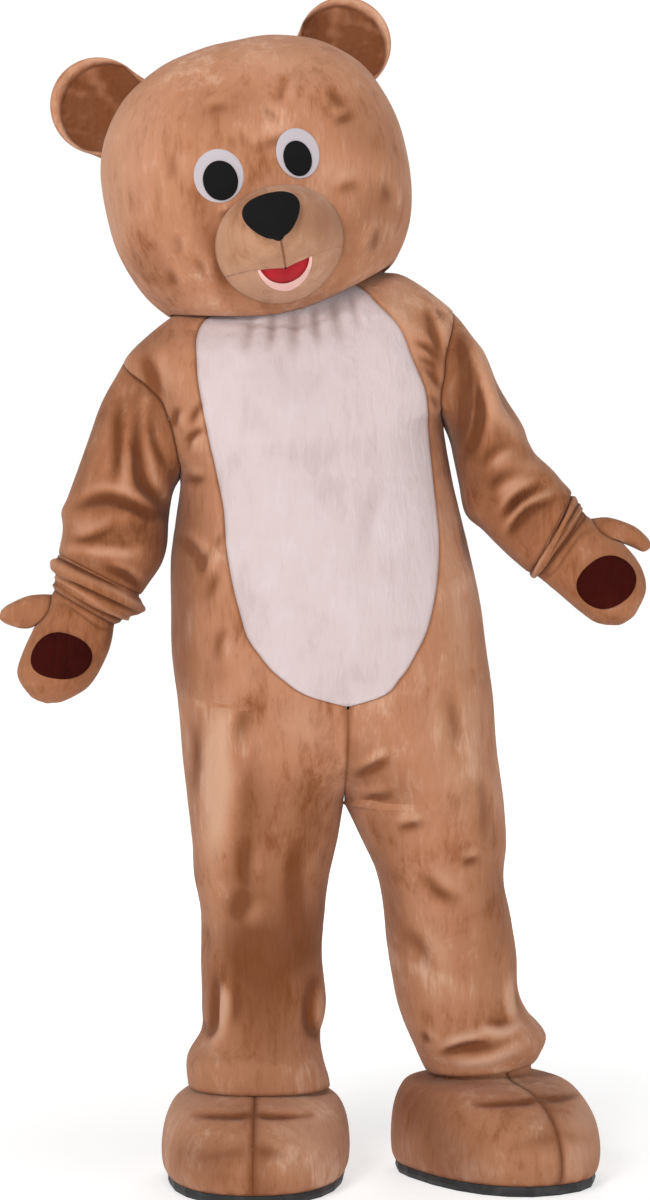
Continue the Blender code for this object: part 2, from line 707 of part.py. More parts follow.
def mitt_skin(rows):
    """Quarter 0 is the thumb side, 1 the other side, 0.5 the palm and -0.5 the back."""
    full = [row + (180,) for row in rows]
    outer_x, outer_z, inner_x, inner_z, middle_y = rows[1][:5]
    middle = ((outer_x + inner_x) / 2 * MM, middle_y * MM, (outer_z + inner_z) / 2 * MM)
    return Skin(lambda quarter, at: half_ring(full, quarter, at, sag=1), (0.5, 1.5), middle)


def thumb_quarter(rows):
    share = np.clip((rows - THUMB_ROW) / THUMB_REACH, -1, 1)
    return THUMB_TURN / 180 * np.sqrt(1 - share**2)


def build_mitt(side, rows, thumb_rows, plush, maroon):
    skin = mitt_skin(rows)
    hole = THUMB_ROW - THUMB_REACH * np.cos(np.radians(np.linspace(0, 180, 7)))
    levels = np.concatenate(((0.0,), hole, MITT_LEVELS))
    edge = thumb_quarter(levels)
    v = np.repeat(levels[:, None], PANEL_COLUMNS, axis=1)
    ends = np.ones(len(levels))
    panel("palm_" + side, skin, spread(edge, ends, PANEL_COLUMNS), v, PLUSH, plush)
    panel("hand_back_" + side, skin, spread(-edge, -ends, PANEL_COLUMNS), v, PLUSH, plush)

    def hole_edge(turn):
        return skin.points(THUMB_TURN / 180 * np.sin(2 * np.pi * turn), hole_rows(turn, THUMB_ROW, THUMB_REACH))

    thumb = limb_skin(thumb_rows, [hole_edge], probe_row=1)
    turns = np.linspace(0, 1, THUMB_SIDES, endpoint=False)
    u = np.repeat(turns[None, :], len(THUMB_LEVELS), axis=0)
    v = np.repeat(np.array(THUMB_LEVELS, dtype=float)[:, None], THUMB_SIDES, axis=1)
    panel("thumb_" + side, thumb, u, v, PLUSH, plush, closed=True, thin_start=True)

    angle = np.linspace(0, 2 * np.pi, PAD_SIDES, endpoint=False)[None, :]
    reach = table(PAD_RINGS, DISC_COLUMNS, "reach")[:, None]
    u = PAD["quarter"] + PAD["half_quarter"] * reach * np.cos(angle)
    v = PAD["row"] + PAD["half_row"] * reach * np.sin(angle)
    top = np.repeat(table(PAD_RINGS, DISC_COLUMNS, "height")[:, None] * MM, PAD_SIDES, axis=1)
    patch("pad_" + side, skin, u, v, top, np.full(u.shape, 2 * CLEAR), maroon, closed=True, capped=True)


def shoe_skin(place, leg, mirrored):
    """Turn 0 is the toe and -1 and 1 the heel; level 0 is the collar in the leg, the last the sole."""
    rows = np.array(SHOE_RINGS, dtype=float)
    rows[:ANKLE_RINGS, 1:] *= place["ankle"]
    yaw = place["yaw"]

    def collar(turn):
        lag = round(yaw / np.pi * (PANEL_COLUMNS - 1)) / (PANEL_COLUMNS - 1)
        quarter = 0.5 + (turn + lag) * (-1 if mirrored else 1)
        at = np.full(turn.shape, COLLAR_ROW)
        return leg.points(quarter, at) - leg.normals(quarter, at) * (PLUSH + CLEAR)

    def ring(row, turn):
        height, half_width, toe, heel = row * MM
        sine = power(np.sin(np.pi * turn), ROUND)
        cosine = power(np.cos(np.pi * turn), ROUND)
        across = half_width * sine
        ahead = np.where(cosine > 0, toe, heel) * cosine
        x = place["x"] + across * math.cos(yaw) + ahead * math.sin(yaw)
        y = place["y"] + across * math.sin(yaw) - ahead * math.cos(yaw)
        z = np.full(turn.shape, FLOOR + height * place["rise"])
        return np.stack((x, y, z), axis=-1)

    def points(turn, at):
        loops = np.stack([collar(turn)] + [ring(row, turn) for row in rows], axis=0)
        flat = loops.reshape(len(loops), -1)
        levels = np.broadcast_to(at, turn.shape)
        everything = along(flat, levels.ravel()).reshape(levels.size, -1, 3)
        return everything[np.arange(levels.size), np.arange(levels.size)].reshape(turn.shape + (3,))

    return Skin(points, (0.5, 6.0), (place["x"], place["y"], FLOOR + 0.08))


def build_shoe(side, place, leg, plush, black):
    skin = shoe_skin(place, leg, side == "right")
    inner, outer = ("right", "left") if side == "left" else ("left", "right")
    names = {outer: "shoe_" + side + "_outer", inner: "shoe_" + side + "_inner"}
    v = np.repeat(np.array(SHOE_LEVELS)[:, None], PANEL_COLUMNS, axis=1)
    for half, low in (("left", -1.0), ("right", 0.0)):
        u = np.repeat(np.linspace(low, low + 1, PANEL_COLUMNS)[None, :], len(SHOE_LEVELS), axis=0)
        panel(names[half], skin, u, v, SHOE_WALL, plush)
    turns = np.linspace(-1, 1, 24, endpoint=False)
    edge = skin.points(turns, np.full(turns.shape, float(SHOE_LEVELS[-1])))
    centre = np.array((place["x"], place["y"], 0.0))
    outward = (edge - centre) * (1, 1, 0)
    outward = outward / np.linalg.norm(outward, axis=-1, keepdims=True)
    top = edge[0, 2] - SEAM
    upper = edge - outward * SOLE_IN / 2
    middle = edge - outward * SOLE_IN / 4
    lower = edge - outward * SOLE_IN
    upper[:, 2] = top
    middle[:, 2] = (top + FLOOR) / 2
    lower[:, 2] = FLOOR
    rings = np.stack((upper, middle, lower))
    vertices = rings.reshape(-1, 3)
    count = len(turns)
    faces = [list(range(count)), list(range(3 * count - 1, 2 * count - 1, -1))]
    for level in range(2):
        for i in range(count):
            j = (i + 1) % count
            faces.append([level * count + i, (level + 1) * count + i, (level + 1) * count + j, level * count + j])
    body_object("sole_" + side, vertices, faces, black)


def from_head(points):
    return np.asarray(points) @ np.array(HEAD_TURN).T + np.array(HEAD_CENTRE)


def head_front_y(x, z):
    height = np.where(z > 0, HEAD_UP, HEAD_DOWN)
    rest = 1 - np.abs(x / HEAD_HALF) ** HEAD_POWER - np.abs(z / height) ** HEAD_POWER
    return -HEAD_FRONT * np.clip(rest, 1e-4, 1) ** (1 / HEAD_POWER)


def head_skin():
    """Around 0 is the face, -1 and 1 the back; level 0 is the rim and 1 the crown."""
    def points(around, level):
        angle = np.pi * around
        cosine = np.cos(angle)
        side_rim = np.where(np.sin(angle) > 0, RIM_RIGHT, RIM_LEFT)
        end_rim = np.where(cosine > 0, RIM_FRONT, RIM_BACK)
        rim = side_rim + (end_rim - side_rim) * np.abs(cosine) ** 1.4
        low = -np.arccos((1 - (-rim / HEAD_DOWN) ** HEAD_POWER) ** 0.5)
        lift = low + (np.pi / 2 - low) * level
        flat = np.abs(np.cos(lift)) ** (2 / HEAD_POWER)
        height = power(np.sin(lift), 2 / HEAD_POWER) * np.where(lift > 0, HEAD_UP, HEAD_DOWN)
        x = HEAD_HALF * flat * power(np.sin(angle), 2 / HEAD_POWER)
        y = -np.where(cosine > 0, HEAD_FRONT, HEAD_BACK) * flat * power(cosine, 2 / HEAD_POWER)
        return from_head(np.stack((x, y, height), axis=-1))

    return Skin(points, (0.2, 0.5), tuple(HEAD_CENTRE))


def face_skin():
    """The front of the head by its own x and z."""
    def points(x, z):
        return from_head(np.stack((x, head_front_y(x, z), z), axis=-1))

    return Skin(points, (0.0, 0.0), tuple(HEAD_CENTRE))


def muzzle_far(x, z):
    """0 in the muzzle's middle and 1 on its rim."""
    tall = np.where(z > MUZZLE_Z, MUZZLE_HIGH, MUZZLE_LOW)
    return ((x - MUZZLE_X) / MUZZLE_HALF) ** 2 + ((z - MUZZLE_Z) / tall) ** 2


def muzzle_rise(x, z):
    """Height of the muzzle over the head, with a furrow down the philtrum and along the mouth."""
    dome = MUZZLE_RISE * np.clip(1 - muzzle_far(x, z), 0, 1) ** 0.72
    below = z - MOUTH[1] - np.abs(x - MOUTH[0]) * math.tan(SMILE)
    furrow = 0.010 * np.exp(-((x - MOUTH[0]) / 0.012) ** 2) * np.clip((NOSE_END - z) / 0.01, 0, 1)
    line = 0.012 * np.exp(-(below / 0.011) ** 2)
    return np.maximum(dome - (furrow + line) * np.clip(dome / 0.03, 0, 1), 0)


def muzzle_skin():
    def points(x, z):
        y = head_front_y(x, z) - muzzle_rise(x, z)
        return from_head(np.stack((x, y, z), axis=-1))

    return Skin(points, (MUZZLE_X, MUZZLE_Z), tuple(HEAD_CENTRE))


def muzzle_rim(angle):
    """Distance from the mouth's middle to the muzzle's rim at an angle, by halving."""
    low = np.zeros(angle.shape)
    high = np.full(angle.shape, 0.3)
    for _ in range(30):
        middle = (low + high) / 2
        inside = muzzle_far(MOUTH[0] + middle * np.cos(angle), MOUTH[1] + middle * np.sin(angle)) < 0.985
        low = np.where(inside, middle, low)
        high = np.where(inside, high, middle)
    return low


def build_muzzle(pale, red, pink):
    """Foam-filled lobes and chin on the face, with the felt mouth and lip let in between."""

    def piece(name, angles, near, far, steps, sink, thickness, material):
        """Between two distances from the mouth's middle; without a thickness it is filled down to the face."""
        share = np.linspace(0, 1, steps)[:, None]
        distance = near(angles)[None, :] * (1 - share) + far(angles)[None, :] * share
        x = MOUTH[0] + distance * np.cos(angles)[None, :]
        z = MOUTH[1] + distance * np.sin(angles)[None, :]
        base = from_head(np.stack((x, head_front_y(x, z), z), axis=-1))
        forward = np.array(HEAD_TURN) @ np.array((0.0, -1.0, 0.0))
        rise = muzzle_rise(x, z) - sink
        top = np.maximum(rise, MUZZLE_EDGE)
        bottom = np.full(top.shape, CLEAR) if thickness is None else top - thickness
        outer, inner = draw_in(base + forward * top[..., None], base + forward * bottom[..., None], False)
        return wall(name, outer, inner, material)

    left_corner = math.pi - SMILE
    right_corner = SMILE + 2 * math.pi

    def near_mouth(angles):
        return np.full(angles.shape, 1.5 * MM)

    def smile(half, drop):
        def reach(angles):
            share = (angles - left_corner) / (right_corner - left_corner)
            return half + (drop - half) * np.sin(np.pi * share)

        return reach

    lobes = (("muzzle_right", SMILE, math.pi / 2), ("muzzle_left", math.pi / 2, left_corner))
    for name, low, high in lobes:
        piece(name, np.linspace(low, high, 9), near_mouth, muzzle_rim, 9, 0.0, None, pale)
    angles = np.linspace(left_corner, right_corner, 13)
    red_edge = smile(MOUTH_HALF, MOUTH_DROP)
    lip_edge = smile(LIP_HALF, LIP_DROP)
    piece("mouth", angles, near_mouth, red_edge, 3, MOUTH_SINK, MOUTH_FELT, red)
    piece("lip", angles, red_edge, lip_edge, 3, -LIP_PROUD, LIP_FELT, pink)
    piece("muzzle_chin", angles, lip_edge, muzzle_rim, 6, 0.0, None, pale)


def disc(name, skin, centre, half_x, half_z, heights, lift, material, shape=None, sides=16):
    """A flat or domed felt piece on a skin: rings from its edge in to a cap."""
    angle = np.linspace(0, 2 * np.pi, sides, endpoint=False)
    reach = table(heights, DISC_COLUMNS, "reach")[:, None]
    bend = np.ones(sides) if shape is None else shape(angle)
    x = centre[0] + half_x * reach * (bend * np.cos(angle))[None, :]
    z = centre[1] + half_z * reach * (bend * np.sin(angle))[None, :]
    top = np.repeat(table(heights, DISC_COLUMNS, "height")[:, None] * MM + lift, sides, axis=1)
    return patch(name, skin, x, z, top, np.full(x.shape, lift), material, closed=True, capped=True)


def nose_shape(angle):
    """A rounded triangle, point down."""
    return 1 / (1 + NOSE_CORNERS * np.cos(3 * (angle - math.pi / 2)))


def build_face(white, black):
    face = face_skin()
    pupil_lift = EYE_LIFT + WHITE_RINGS[-1][1] * MM + CLEAR
    for side, white_at, white_x, white_z, pupil_at, pupil_x, pupil_z in EYES:
        disc("eye_" + side, face, white_at, white_x, white_z, WHITE_RINGS, EYE_LIFT, white)
        disc("pupil_" + side, face, pupil_at, pupil_x, pupil_z, PUPIL_RINGS, pupil_lift, black)
    disc("nose", muzzle_skin(), NOSE_AT, NOSE_HALF_X, NOSE_HALF_Z, NOSE_RINGS, NOSE_LIFT, black,
         nose_shape, 20)


def build_head(plush):
    skin = head_skin()
    v = np.repeat(np.array(HEAD_LEVELS)[:, None], HEAD_COLUMNS, axis=1)
    front = np.repeat(np.linspace(-0.5, 0.5, HEAD_COLUMNS)[None, :], len(HEAD_LEVELS), axis=0)
    back = np.repeat(np.linspace(0.5, 1.5, HEAD_COLUMNS)[None, :], len(HEAD_LEVELS), axis=0)
    panel("head_front", skin, front, v, HEAD_WALL, plush)
    panel("head_back", skin, back, v, HEAD_WALL, plush)


def head_reach(angle, y):
    """Distance of the head's surface from its middle in the direction angle, at depth y."""
    height = np.where(np.sin(angle) > 0, HEAD_UP, HEAD_DOWN)
    rest = 1 - np.abs(y / np.where(y < 0, HEAD_FRONT, HEAD_BACK)) ** HEAD_POWER
    size = np.abs(np.cos(angle) / HEAD_HALF) ** HEAD_POWER + np.abs(np.sin(angle) / height) ** HEAD_POWER
    return (rest / size) ** (1 / HEAD_POWER)


def build_ear(ear, plush):
    """A cup that stands on the head: base on the head's seam, rim on a circle."""
    across = np.linspace(1, -1, 11)[None, :]
    up = np.linspace(0, 1, 6)[:, None]
    towards = ear["towards"]
    middle = ear["middle"] * np.array((math.cos(towards), math.sin(towards)))
    rim_angle = towards + across * EAR_SWEEP
    rim = middle + ear["radius"] * np.stack((np.cos(rim_angle), np.sin(rim_angle)), axis=-1)
    base_angle = towards + across * EAR_SPAN

    def sheet(bulge):
        """bulge is the cup's depth at each place: back is positive."""
        y = bulge(across, up) + 0 * across * up
        base_y = bulge(across, np.zeros((1, 1))) + 0 * across
        reach = head_reach(base_angle, base_y) + ear["seat"]
        base = reach[..., None] * np.stack((np.cos(base_angle), np.sin(base_angle)), axis=-1)
        flat = base * (1 - up)[..., None] + rim * up[..., None]
        return np.stack((flat[..., 0], y, flat[..., 1]), axis=-1)

    def hollow(a, u):
        return (1 - a**4) * np.sin(np.pi * np.clip(0.25 + 0.75 * u, 0, 1))

    def back(a, u):
        return EAR_BACK * hollow(a, u) + 0.006

    def dish(a, u):
        return EAR_DISH * hollow(a, u) - 0.002

    for part, outside, inside in (
        ("outer", back, lambda a, u: back(a, u) - EAR_WALL * 0.8),
        ("inner", lambda a, u: dish(a, u) - EAR_WALL, dish),
    ):
        outer, inner = draw_in(sheet(outside), sheet(inside), False)
        wall("ear_" + ear["side"] + "_" + part, from_head(outer), from_head(inner), plush)


clear_scene()
COSTUME = bpy.data.collections.new("Teddy bear costume")
bpy.context.scene.collection.children.link(COSTUME)

tan = make_material("Tan plush", TAN, 0.9)
pale_tan = make_material("Pale tan plush", PALE_TAN, 0.9)
off_white = make_material("Off-white plush", OFF_WHITE, 0.9)
maroon = make_material("Maroon plush", MAROON, 0.9)
black_felt = make_material("Black felt", BLACK, 0.8)
black_sole = make_material("Black sole", BLACK, 0.7)
white_felt = make_material("White felt", WHITE, 0.8)
red_felt = make_material("Red felt", RED, 0.8)
pink_felt = make_material("Pink felt", PINK, 0.8)
zip_tape = make_material("Brown zip tape", ZIP_BROWN, 0.8)
zip_metal = make_material("Dark zip metal", STEEL, 0.4, 1.0)

left_skin = side_skin(LEFT_BODY)
right_skin = side_skin(RIGHT_BODY)
build_suit(left_skin, right_skin, tan, off_white)
build_zip(left_skin, right_skin, zip_tape, zip_metal)
for name, sleeve_rows, cuff_rows, mitt_rows, thumb_rows, body_skin in (
    ("left", LEFT_SLEEVE, LEFT_CUFF, LEFT_MITT, LEFT_THUMB, left_skin),
    ("right", RIGHT_SLEEVE, RIGHT_CUFF, RIGHT_MITT, RIGHT_THUMB, right_skin),
):
    sleeve_skin = build_sleeve(name, sleeve_rows, body_skin, tan)
    build_cuff(name, cuff_rows, sleeve_skin, len(sleeve_rows), tan)
    build_mitt(name, mitt_rows, thumb_rows, tan, maroon)
build_shoe("left", LEFT_SHOE, left_skin, tan, black_sole)
build_shoe("right", RIGHT_SHOE, right_skin, tan, black_sole)
build_head(tan)
for ear_place in EARS:
    build_ear(ear_place, tan)
build_muzzle(pale_tan, red_felt, pink_felt)
build_face(white_felt, black_felt)
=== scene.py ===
"""Looks of the teddy bear costume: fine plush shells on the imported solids' own forms.

Metres, +Z up, the front faces -Y. Left and right are those of someone facing the costume.
Lengths in the tables are in millimetres. The tables of rings repeat those of the solids.
"""
import math

import bpy
import numpy as np
from mathutils import Matrix, Vector


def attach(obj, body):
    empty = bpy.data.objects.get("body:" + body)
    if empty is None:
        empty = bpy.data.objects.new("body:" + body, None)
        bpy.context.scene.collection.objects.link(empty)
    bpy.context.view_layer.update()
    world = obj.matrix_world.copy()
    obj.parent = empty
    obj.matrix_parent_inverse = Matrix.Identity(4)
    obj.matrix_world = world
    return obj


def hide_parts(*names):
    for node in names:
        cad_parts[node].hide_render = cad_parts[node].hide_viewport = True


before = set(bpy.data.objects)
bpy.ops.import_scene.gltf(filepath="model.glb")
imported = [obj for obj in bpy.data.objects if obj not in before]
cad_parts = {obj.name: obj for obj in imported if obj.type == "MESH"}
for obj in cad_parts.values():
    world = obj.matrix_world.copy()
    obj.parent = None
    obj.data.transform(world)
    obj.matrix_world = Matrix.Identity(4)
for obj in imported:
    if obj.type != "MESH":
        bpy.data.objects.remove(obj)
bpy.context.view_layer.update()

MM = 0.001

# Walls and gaps
PLUSH = 3.0 * MM
HEAD_WALL = 8.0 * MM
MUZZLE_EDGE = 2.5 * MM
SHOE_WALL = 5.0 * MM
SEAM = 0.3 * MM
CLEAR = 0.4 * MM
FLOOR = -1.380

# Fullness of the rings: 1 is an ellipse, less is squarer
ROUND = 0.87

# The head in its own turned frame
HEAD_CENTRE = Vector((-0.053, 0.0, 0.257))
HEAD_ROLL = math.radians(14.5)
HEAD_YAW = math.radians(3.0)
HEAD_TURN = Matrix.Rotation(HEAD_YAW, 3, "Z") @ Matrix.Rotation(-HEAD_ROLL, 3, "Y")
HEAD_HALF = 0.252
HEAD_UP = 0.229
HEAD_DOWN = 0.248
HEAD_FRONT = 0.225
HEAD_BACK = 0.232
HEAD_POWER = 2.35
RIM_FRONT = -0.231
RIM_LEFT = -0.180
RIM_RIGHT = -0.188
RIM_BACK = -0.222

# Muzzle and mouth, in the head's own x and z
MUZZLE_Z = -0.128
MUZZLE_HALF = 0.104
MUZZLE_HIGH = 0.086
MUZZLE_LOW = 0.091
MUZZLE_RISE = 0.088
MOUTH = (-0.003, -0.173)
SMILE = math.radians(9)
MOUTH_HALF = 0.040
MOUTH_DROP = 0.021
LIP_HALF = 0.045
LIP_DROP = 0.031
NOSE_END = -0.130

# Felt on the face, in the head's own x and z
NOSE_AT = (-0.006, -0.097)
NOSE_HALF_X = 0.040
NOSE_HALF_Z = 0.031
NOSE_CORNERS = 0.08
NOSE_LIFT = 3.0 * MM
# Columns: side, white_at, white_x, white_z, pupil_at, pupil_x, pupil_z
EYES = (
    ("left", (-0.068, -0.007), 0.039, 0.042, (-0.067, -0.015), 0.027, 0.031),
    ("right", (0.061, -0.003), 0.034, 0.040, (0.058, -0.011), 0.022, 0.028),
)
EYE_LIFT = 0.3 * MM

# Rings of the suit from the neck down: outer_x, outer_z, inner_x, inner_z, middle_y, front, back, turn
LEFT_BODY = (
    (-99, 63, 2, 42, 0, 88, 92, 90), (-150, 50, 0, 13, 0, 106, 112, 90),
    (-203, 25.8, 0, 0, 0, 124, 132, 90), (-271, -41, 2, -30, 0, 145, 152, 90),
    (-255, -94, 7, -73, 0, 158, 158, 90), (-225, -155, 17, -119, 0, 167, 160, 90),
    (-200, -208, 25, -165, 0, 173, 160, 90), (-178, -231, 33, -198, 0, 176, 160, 90),
    (-185, -300, 50, -272, 0, 183, 160, 90), (-193, -366, 61, -353, 0, 192, 163, 90),
    (-193, -449, 73, -442, 0, 197, 168, 90), (-191, -515, 86, -513, 0, 195, 174, 90),
    (-182, -599, 97, -601, 0, 182, 180, 90), (-173, -683, 96, -683, 0, 165, 182, 108),
    (-165, -766, 92, -766, 0, 146, 172, 180), (-157, -828, 81, -828, 0, 132, 150, 180),
    (-155, -884, 69, -884, 0, 124, 138, 180), (-145, -941, 61, -941, 0, 116, 128, 180),
    (-144, -1010, 56, -1010, 0, 108, 116, 180), (-142, -1092, 63, -1092, 0, 104, 110, 180),
    (-144, -1140, 54, -1142, 0, 108, 112, 180), (-167, -1185, 58, -1185, 0, 118, 122, 180),
    (-165, -1231, 71, -1231, 0, 112, 116, 180),
)
RIGHT_BODY = (
    (102, 116, 2, 42, 0, 88, 92, 90), (152, 109, 0, 13, 0, 106, 112, 90), (198, 99, 0, 0, 0, 124, 132, 90),
    (271, 43, 2, -30, 0, 145, 152, 90), (290, -12, 7, -73, 0, 158, 158, 90),
    (294, -66, 17, -119, 0, 167, 160, 90), (277, -109, 25, -165, 0, 173, 160, 90),
    (256, -139, 33, -198, 0, 176, 160, 90), (271, -239, 50, -272, 0, 183, 160, 90),
    (297, -342, 61, -353, 0, 192, 163, 90), (317, -441, 73, -442, 0, 197, 168, 90),
    (327, -515, 86, -513, 0, 195, 174, 90), (338, -599, 97, -601, 0, 182, 180, 90),
    (345, -683, 96, -683, 0, 165, 182, 108), (355, -767, 92, -766, 0, 146, 172, 180),
    (360, -833, 122, -828, 4, 132, 150, 180), (356, -894, 145, -881, 10, 124, 138, 180),
    (368, -954, 157, -937, 16, 116, 128, 180), (378, -1016, 163, -1003, 24, 108, 116, 180),
    (381, -1076, 177, -1082, 32, 104, 110, 180), (398, -1114, 190, -1129, 38, 108, 112, 180),
    (429, -1155, 208, -1172, 44, 116, 120, 180), (414, -1196, 228, -1214, 48, 100, 104, 180),
)
SHOULDER_ROW = 3
UNDERARM_ROW = 7
CROTCH_ROW = 14
CENTRE_FADE = 0.1
HEM_ROW = 22
TUMMY_ROW = 12
ROWS_PER_RING = 14

# Edge of the tummy panel: row, and the share of the way from the side seam to the centre, left and right
TUMMY = (
    (0, 0.15, 0.15), (1, 0.22, 0.2), (2, 0.31, 0.28), (3, 0.457, 0.317), (4, 0.427, 0.3), (5, 0.376, 0.256),
    (6, 0.338, 0.194), (7, 0.289, 0.121), (8, 0.352, 0.15), (9, 0.383, 0.22), (10, 0.435, 0.338),
    (11, 0.518, 0.493), (11.5, 0.635, 0.632), (11.87, 0.83, 0.815), (12, 0.985, 0.985),
)

# Rings of the limbs: outer_x, outer_z, inner_x, inner_z, middle_y, front, back
LEFT_SLEEVE = (
    (-304, -106, -190, -257, -12, 92, 92), (-327, -168, -196, -300, -22, 95, 92),
    (-345, -224, -198, -342, -28, 95, 90), (-363, -279, -208, -376, -30, 90, 86),
    (-371, -333, -231, -409, -30, 80, 78), (-376, -356, -241, -424, -30, 76, 75),
)
RIGHT_SLEEVE = (
    (304, -3, 268, -172, -12, 92, 90), (332, -56, 274, -205, -20, 92, 90),
    (361, -106, 281, -241, -26, 90, 88), (386, -149, 292, -290, -30, 86, 84),
    (396, -182, 320, -318, -32, 80, 78), (426, -213, 353, -351, -34, 76, 74),
    (465, -254, 394, -388, -35, 73, 72),
)
LEFT_CUFF = (
    (-379, -361, -241, -431, -30, 70, 68), (-388, -378, -238, -452, -30, 78, 76),
    (-378, -394, -259, -459, -30, 62, 60), (-385, -405, -271, -467, -30, 60, 58),
    (-382, -415, -284, -472, -30, 50, 50),
)
RIGHT_CUFF = (
    (466, -262, 396, -388, -35, 68, 66), (478, -272, 404, -397, -35, 72, 70),
    (480, -283, 405, -391, -35, 60, 58), (488, -293, 408, -393, -35, 52, 52),
)
LEFT_MITT = (
    (-382, -415, -284, -472, -30, 50, 50), (-408, -462, -290, -505, -32, 54, 52),
    (-431, -512, -304, -541, -34, 54, 50), (-442, -554, -325, -574, -35, 45, 42),
    (-422, -589, -356, -594, -36, 27, 25), (-399, -601, -379, -602, -37, 6, 6),
    (-390, -602, -388, -602, -37, 0.5, 0.5),
)
RIGHT_MITT = (
    (488, -293, 408, -393, -35, 52, 52), (535, -327, 434, -414, -37, 54, 52),
    (574, -370, 469, -444, -39, 54, 50), (586, -412, 503, -469, -40, 45, 42),
    (571, -449, 533, -474, -41, 27, 25), (559, -465, 547, -471, -42, 6, 6),
    (554, -468, 552, -468, -42, 0.5, 0.5),
)
LEFT_THUMB = (
    (-424, -424, -426, -479, -33, 25, 25), (-452, -436, -441, -478, -34, 22, 22),
    (-467, -447, -461, -471, -34, 13, 13), (-472, -458, -471, -464, -34, 3, 3),
    (-472, -461, -472, -462, -34, 0.4, 0.4),
)
RIGHT_THUMB = (
    (526, -297, 561, -345, -37, 25, 25), (564, -310, 580, -354, -38, 22, 22),
    (585, -326, 590, -350, -38, 13, 13), (594, -338, 595, -343, -38, 3, 3),
    (595, -340, 595, -341, -38, 0.4, 0.4),
)

# Oval holes in a skin: middle row, reach in rows, half width in quarters
ARMHOLE = ((SHOULDER_ROW + UNDERARM_ROW) / 2, (UNDERARM_ROW - SHOULDER_ROW) / 2, 32 / 90)
THUMB_HOLE = (0.72, 0.56, 36 / 180)

# Pads on the palms: centre and half size in quarters and rows
PAD = (0.505, 1.97, 0.245, 0.86)
# Rings of the pads and of the felt pieces, from the edge in
PAD_REACH = (1.0, 0.985, 0.95, 0.9, 0.84, 0.76, 0.66, 0.56, 0.44, 0.32, 0.2, 0.1, 0.02)
DISC_REACH = (1.0, 0.997, 0.985, 0.96, 0.92, 0.86, 0.78, 0.68, 0.56, 0.42, 0.28, 0.14, 0.03)

# Shoes: height, half_width, toe, heel
SHOE_RINGS = (
    (158, 92, 94, 92), (146, 104, 112, 100), (138, 122, 146, 112), (122, 138, 188, 124),
    (94, 149, 224, 134), (60, 154, 240, 138), (32, 153, 242, 136), (15, 147, 236, 130),
)
LEFT_SHOE = {"x": -0.052, "y": 0.0, "yaw": 0.0, "rise": 1.0, "ankle": 1.0}
RIGHT_SHOE = {"x": 0.325, "y": 0.048, "yaw": math.radians(28), "rise": 1.1, "ankle": 0.82}
ANKLE_RINGS = 2
COLLAR_ROW = 21.5
SHOE_COLUMNS = 7
# Creases over the instep and the toe: depth, row, rows it drops a turn, width in rows, reach in turns, ease
SHOE_CREASES = ((-7, 3.55, 1.0, 0.22, 0.26, 0.5), (-2.5, 5.2, 2.5, 0.3, 0.2, 1.0))

# Broad folds that the solids have too, by face: x1, z1, x2, z2, width, depth
BODY_FOLDS = {
    "front": (
        (-205, -60, -214, -150, 26, -7), (190, -10, 262, -100, 24, -7), (205, 50, 250, -40, 20, -5),
        (-225, -25, -205, -105, 20, -5), (-90, -515, -118, -800, 34, 8), (-68, -905, -120, -965, 30, -9),
        (-150, -985, -70, -1010, 26, -6), (100, -730, 180, -690, 24, -7), (112, -770, 185, -757, 22, -6),
        (176, -820, 240, -800, 24, -6), (280, -875, 330, -865, 22, -6), (-140, -1150, 40, -1160, 24, -8),
        (255, -1195, 350, -1175, 22, -8), (200, -1010, 340, -1030, 26, -6),
    ),
    "back": (
        (-150, -640, 0, -690, 30, -8), (330, -650, 140, -700, 30, -8), (-140, -880, 30, -900, 28, -8),
        (170, -890, 340, -905, 28, -8), (-190, -440, 20, -470, 34, -7), (300, -430, 100, -470, 34, -7),
        (-120, -1150, 50, -1160, 24, -8), (220, -1160, 370, -1140, 24, -8),
    ),
}
SLEEVE_FOLDS = {
    "front": (
        (-275, -150, -240, -260, 20, -7), (-215, -120, -205, -240, 18, -6),
        (-360, -290, -220, -300, 18, -8), (-350, -345, -260, -318, 16, -6), (290, -20, 290, -170, 20, -7),
        (320, -30, 330, -190, 18, -7), (322, -225, 380, -190, 18, -8), (345, -320, 420, -240, 18, -7),
    ),
    "back": (
        (-360, -290, -230, -310, 20, -8), (-300, -150, -230, -230, 22, -7), (330, -230, 400, -180, 20, -8),
        (300, -60, 300, -180, 22, -7),
    ),
}

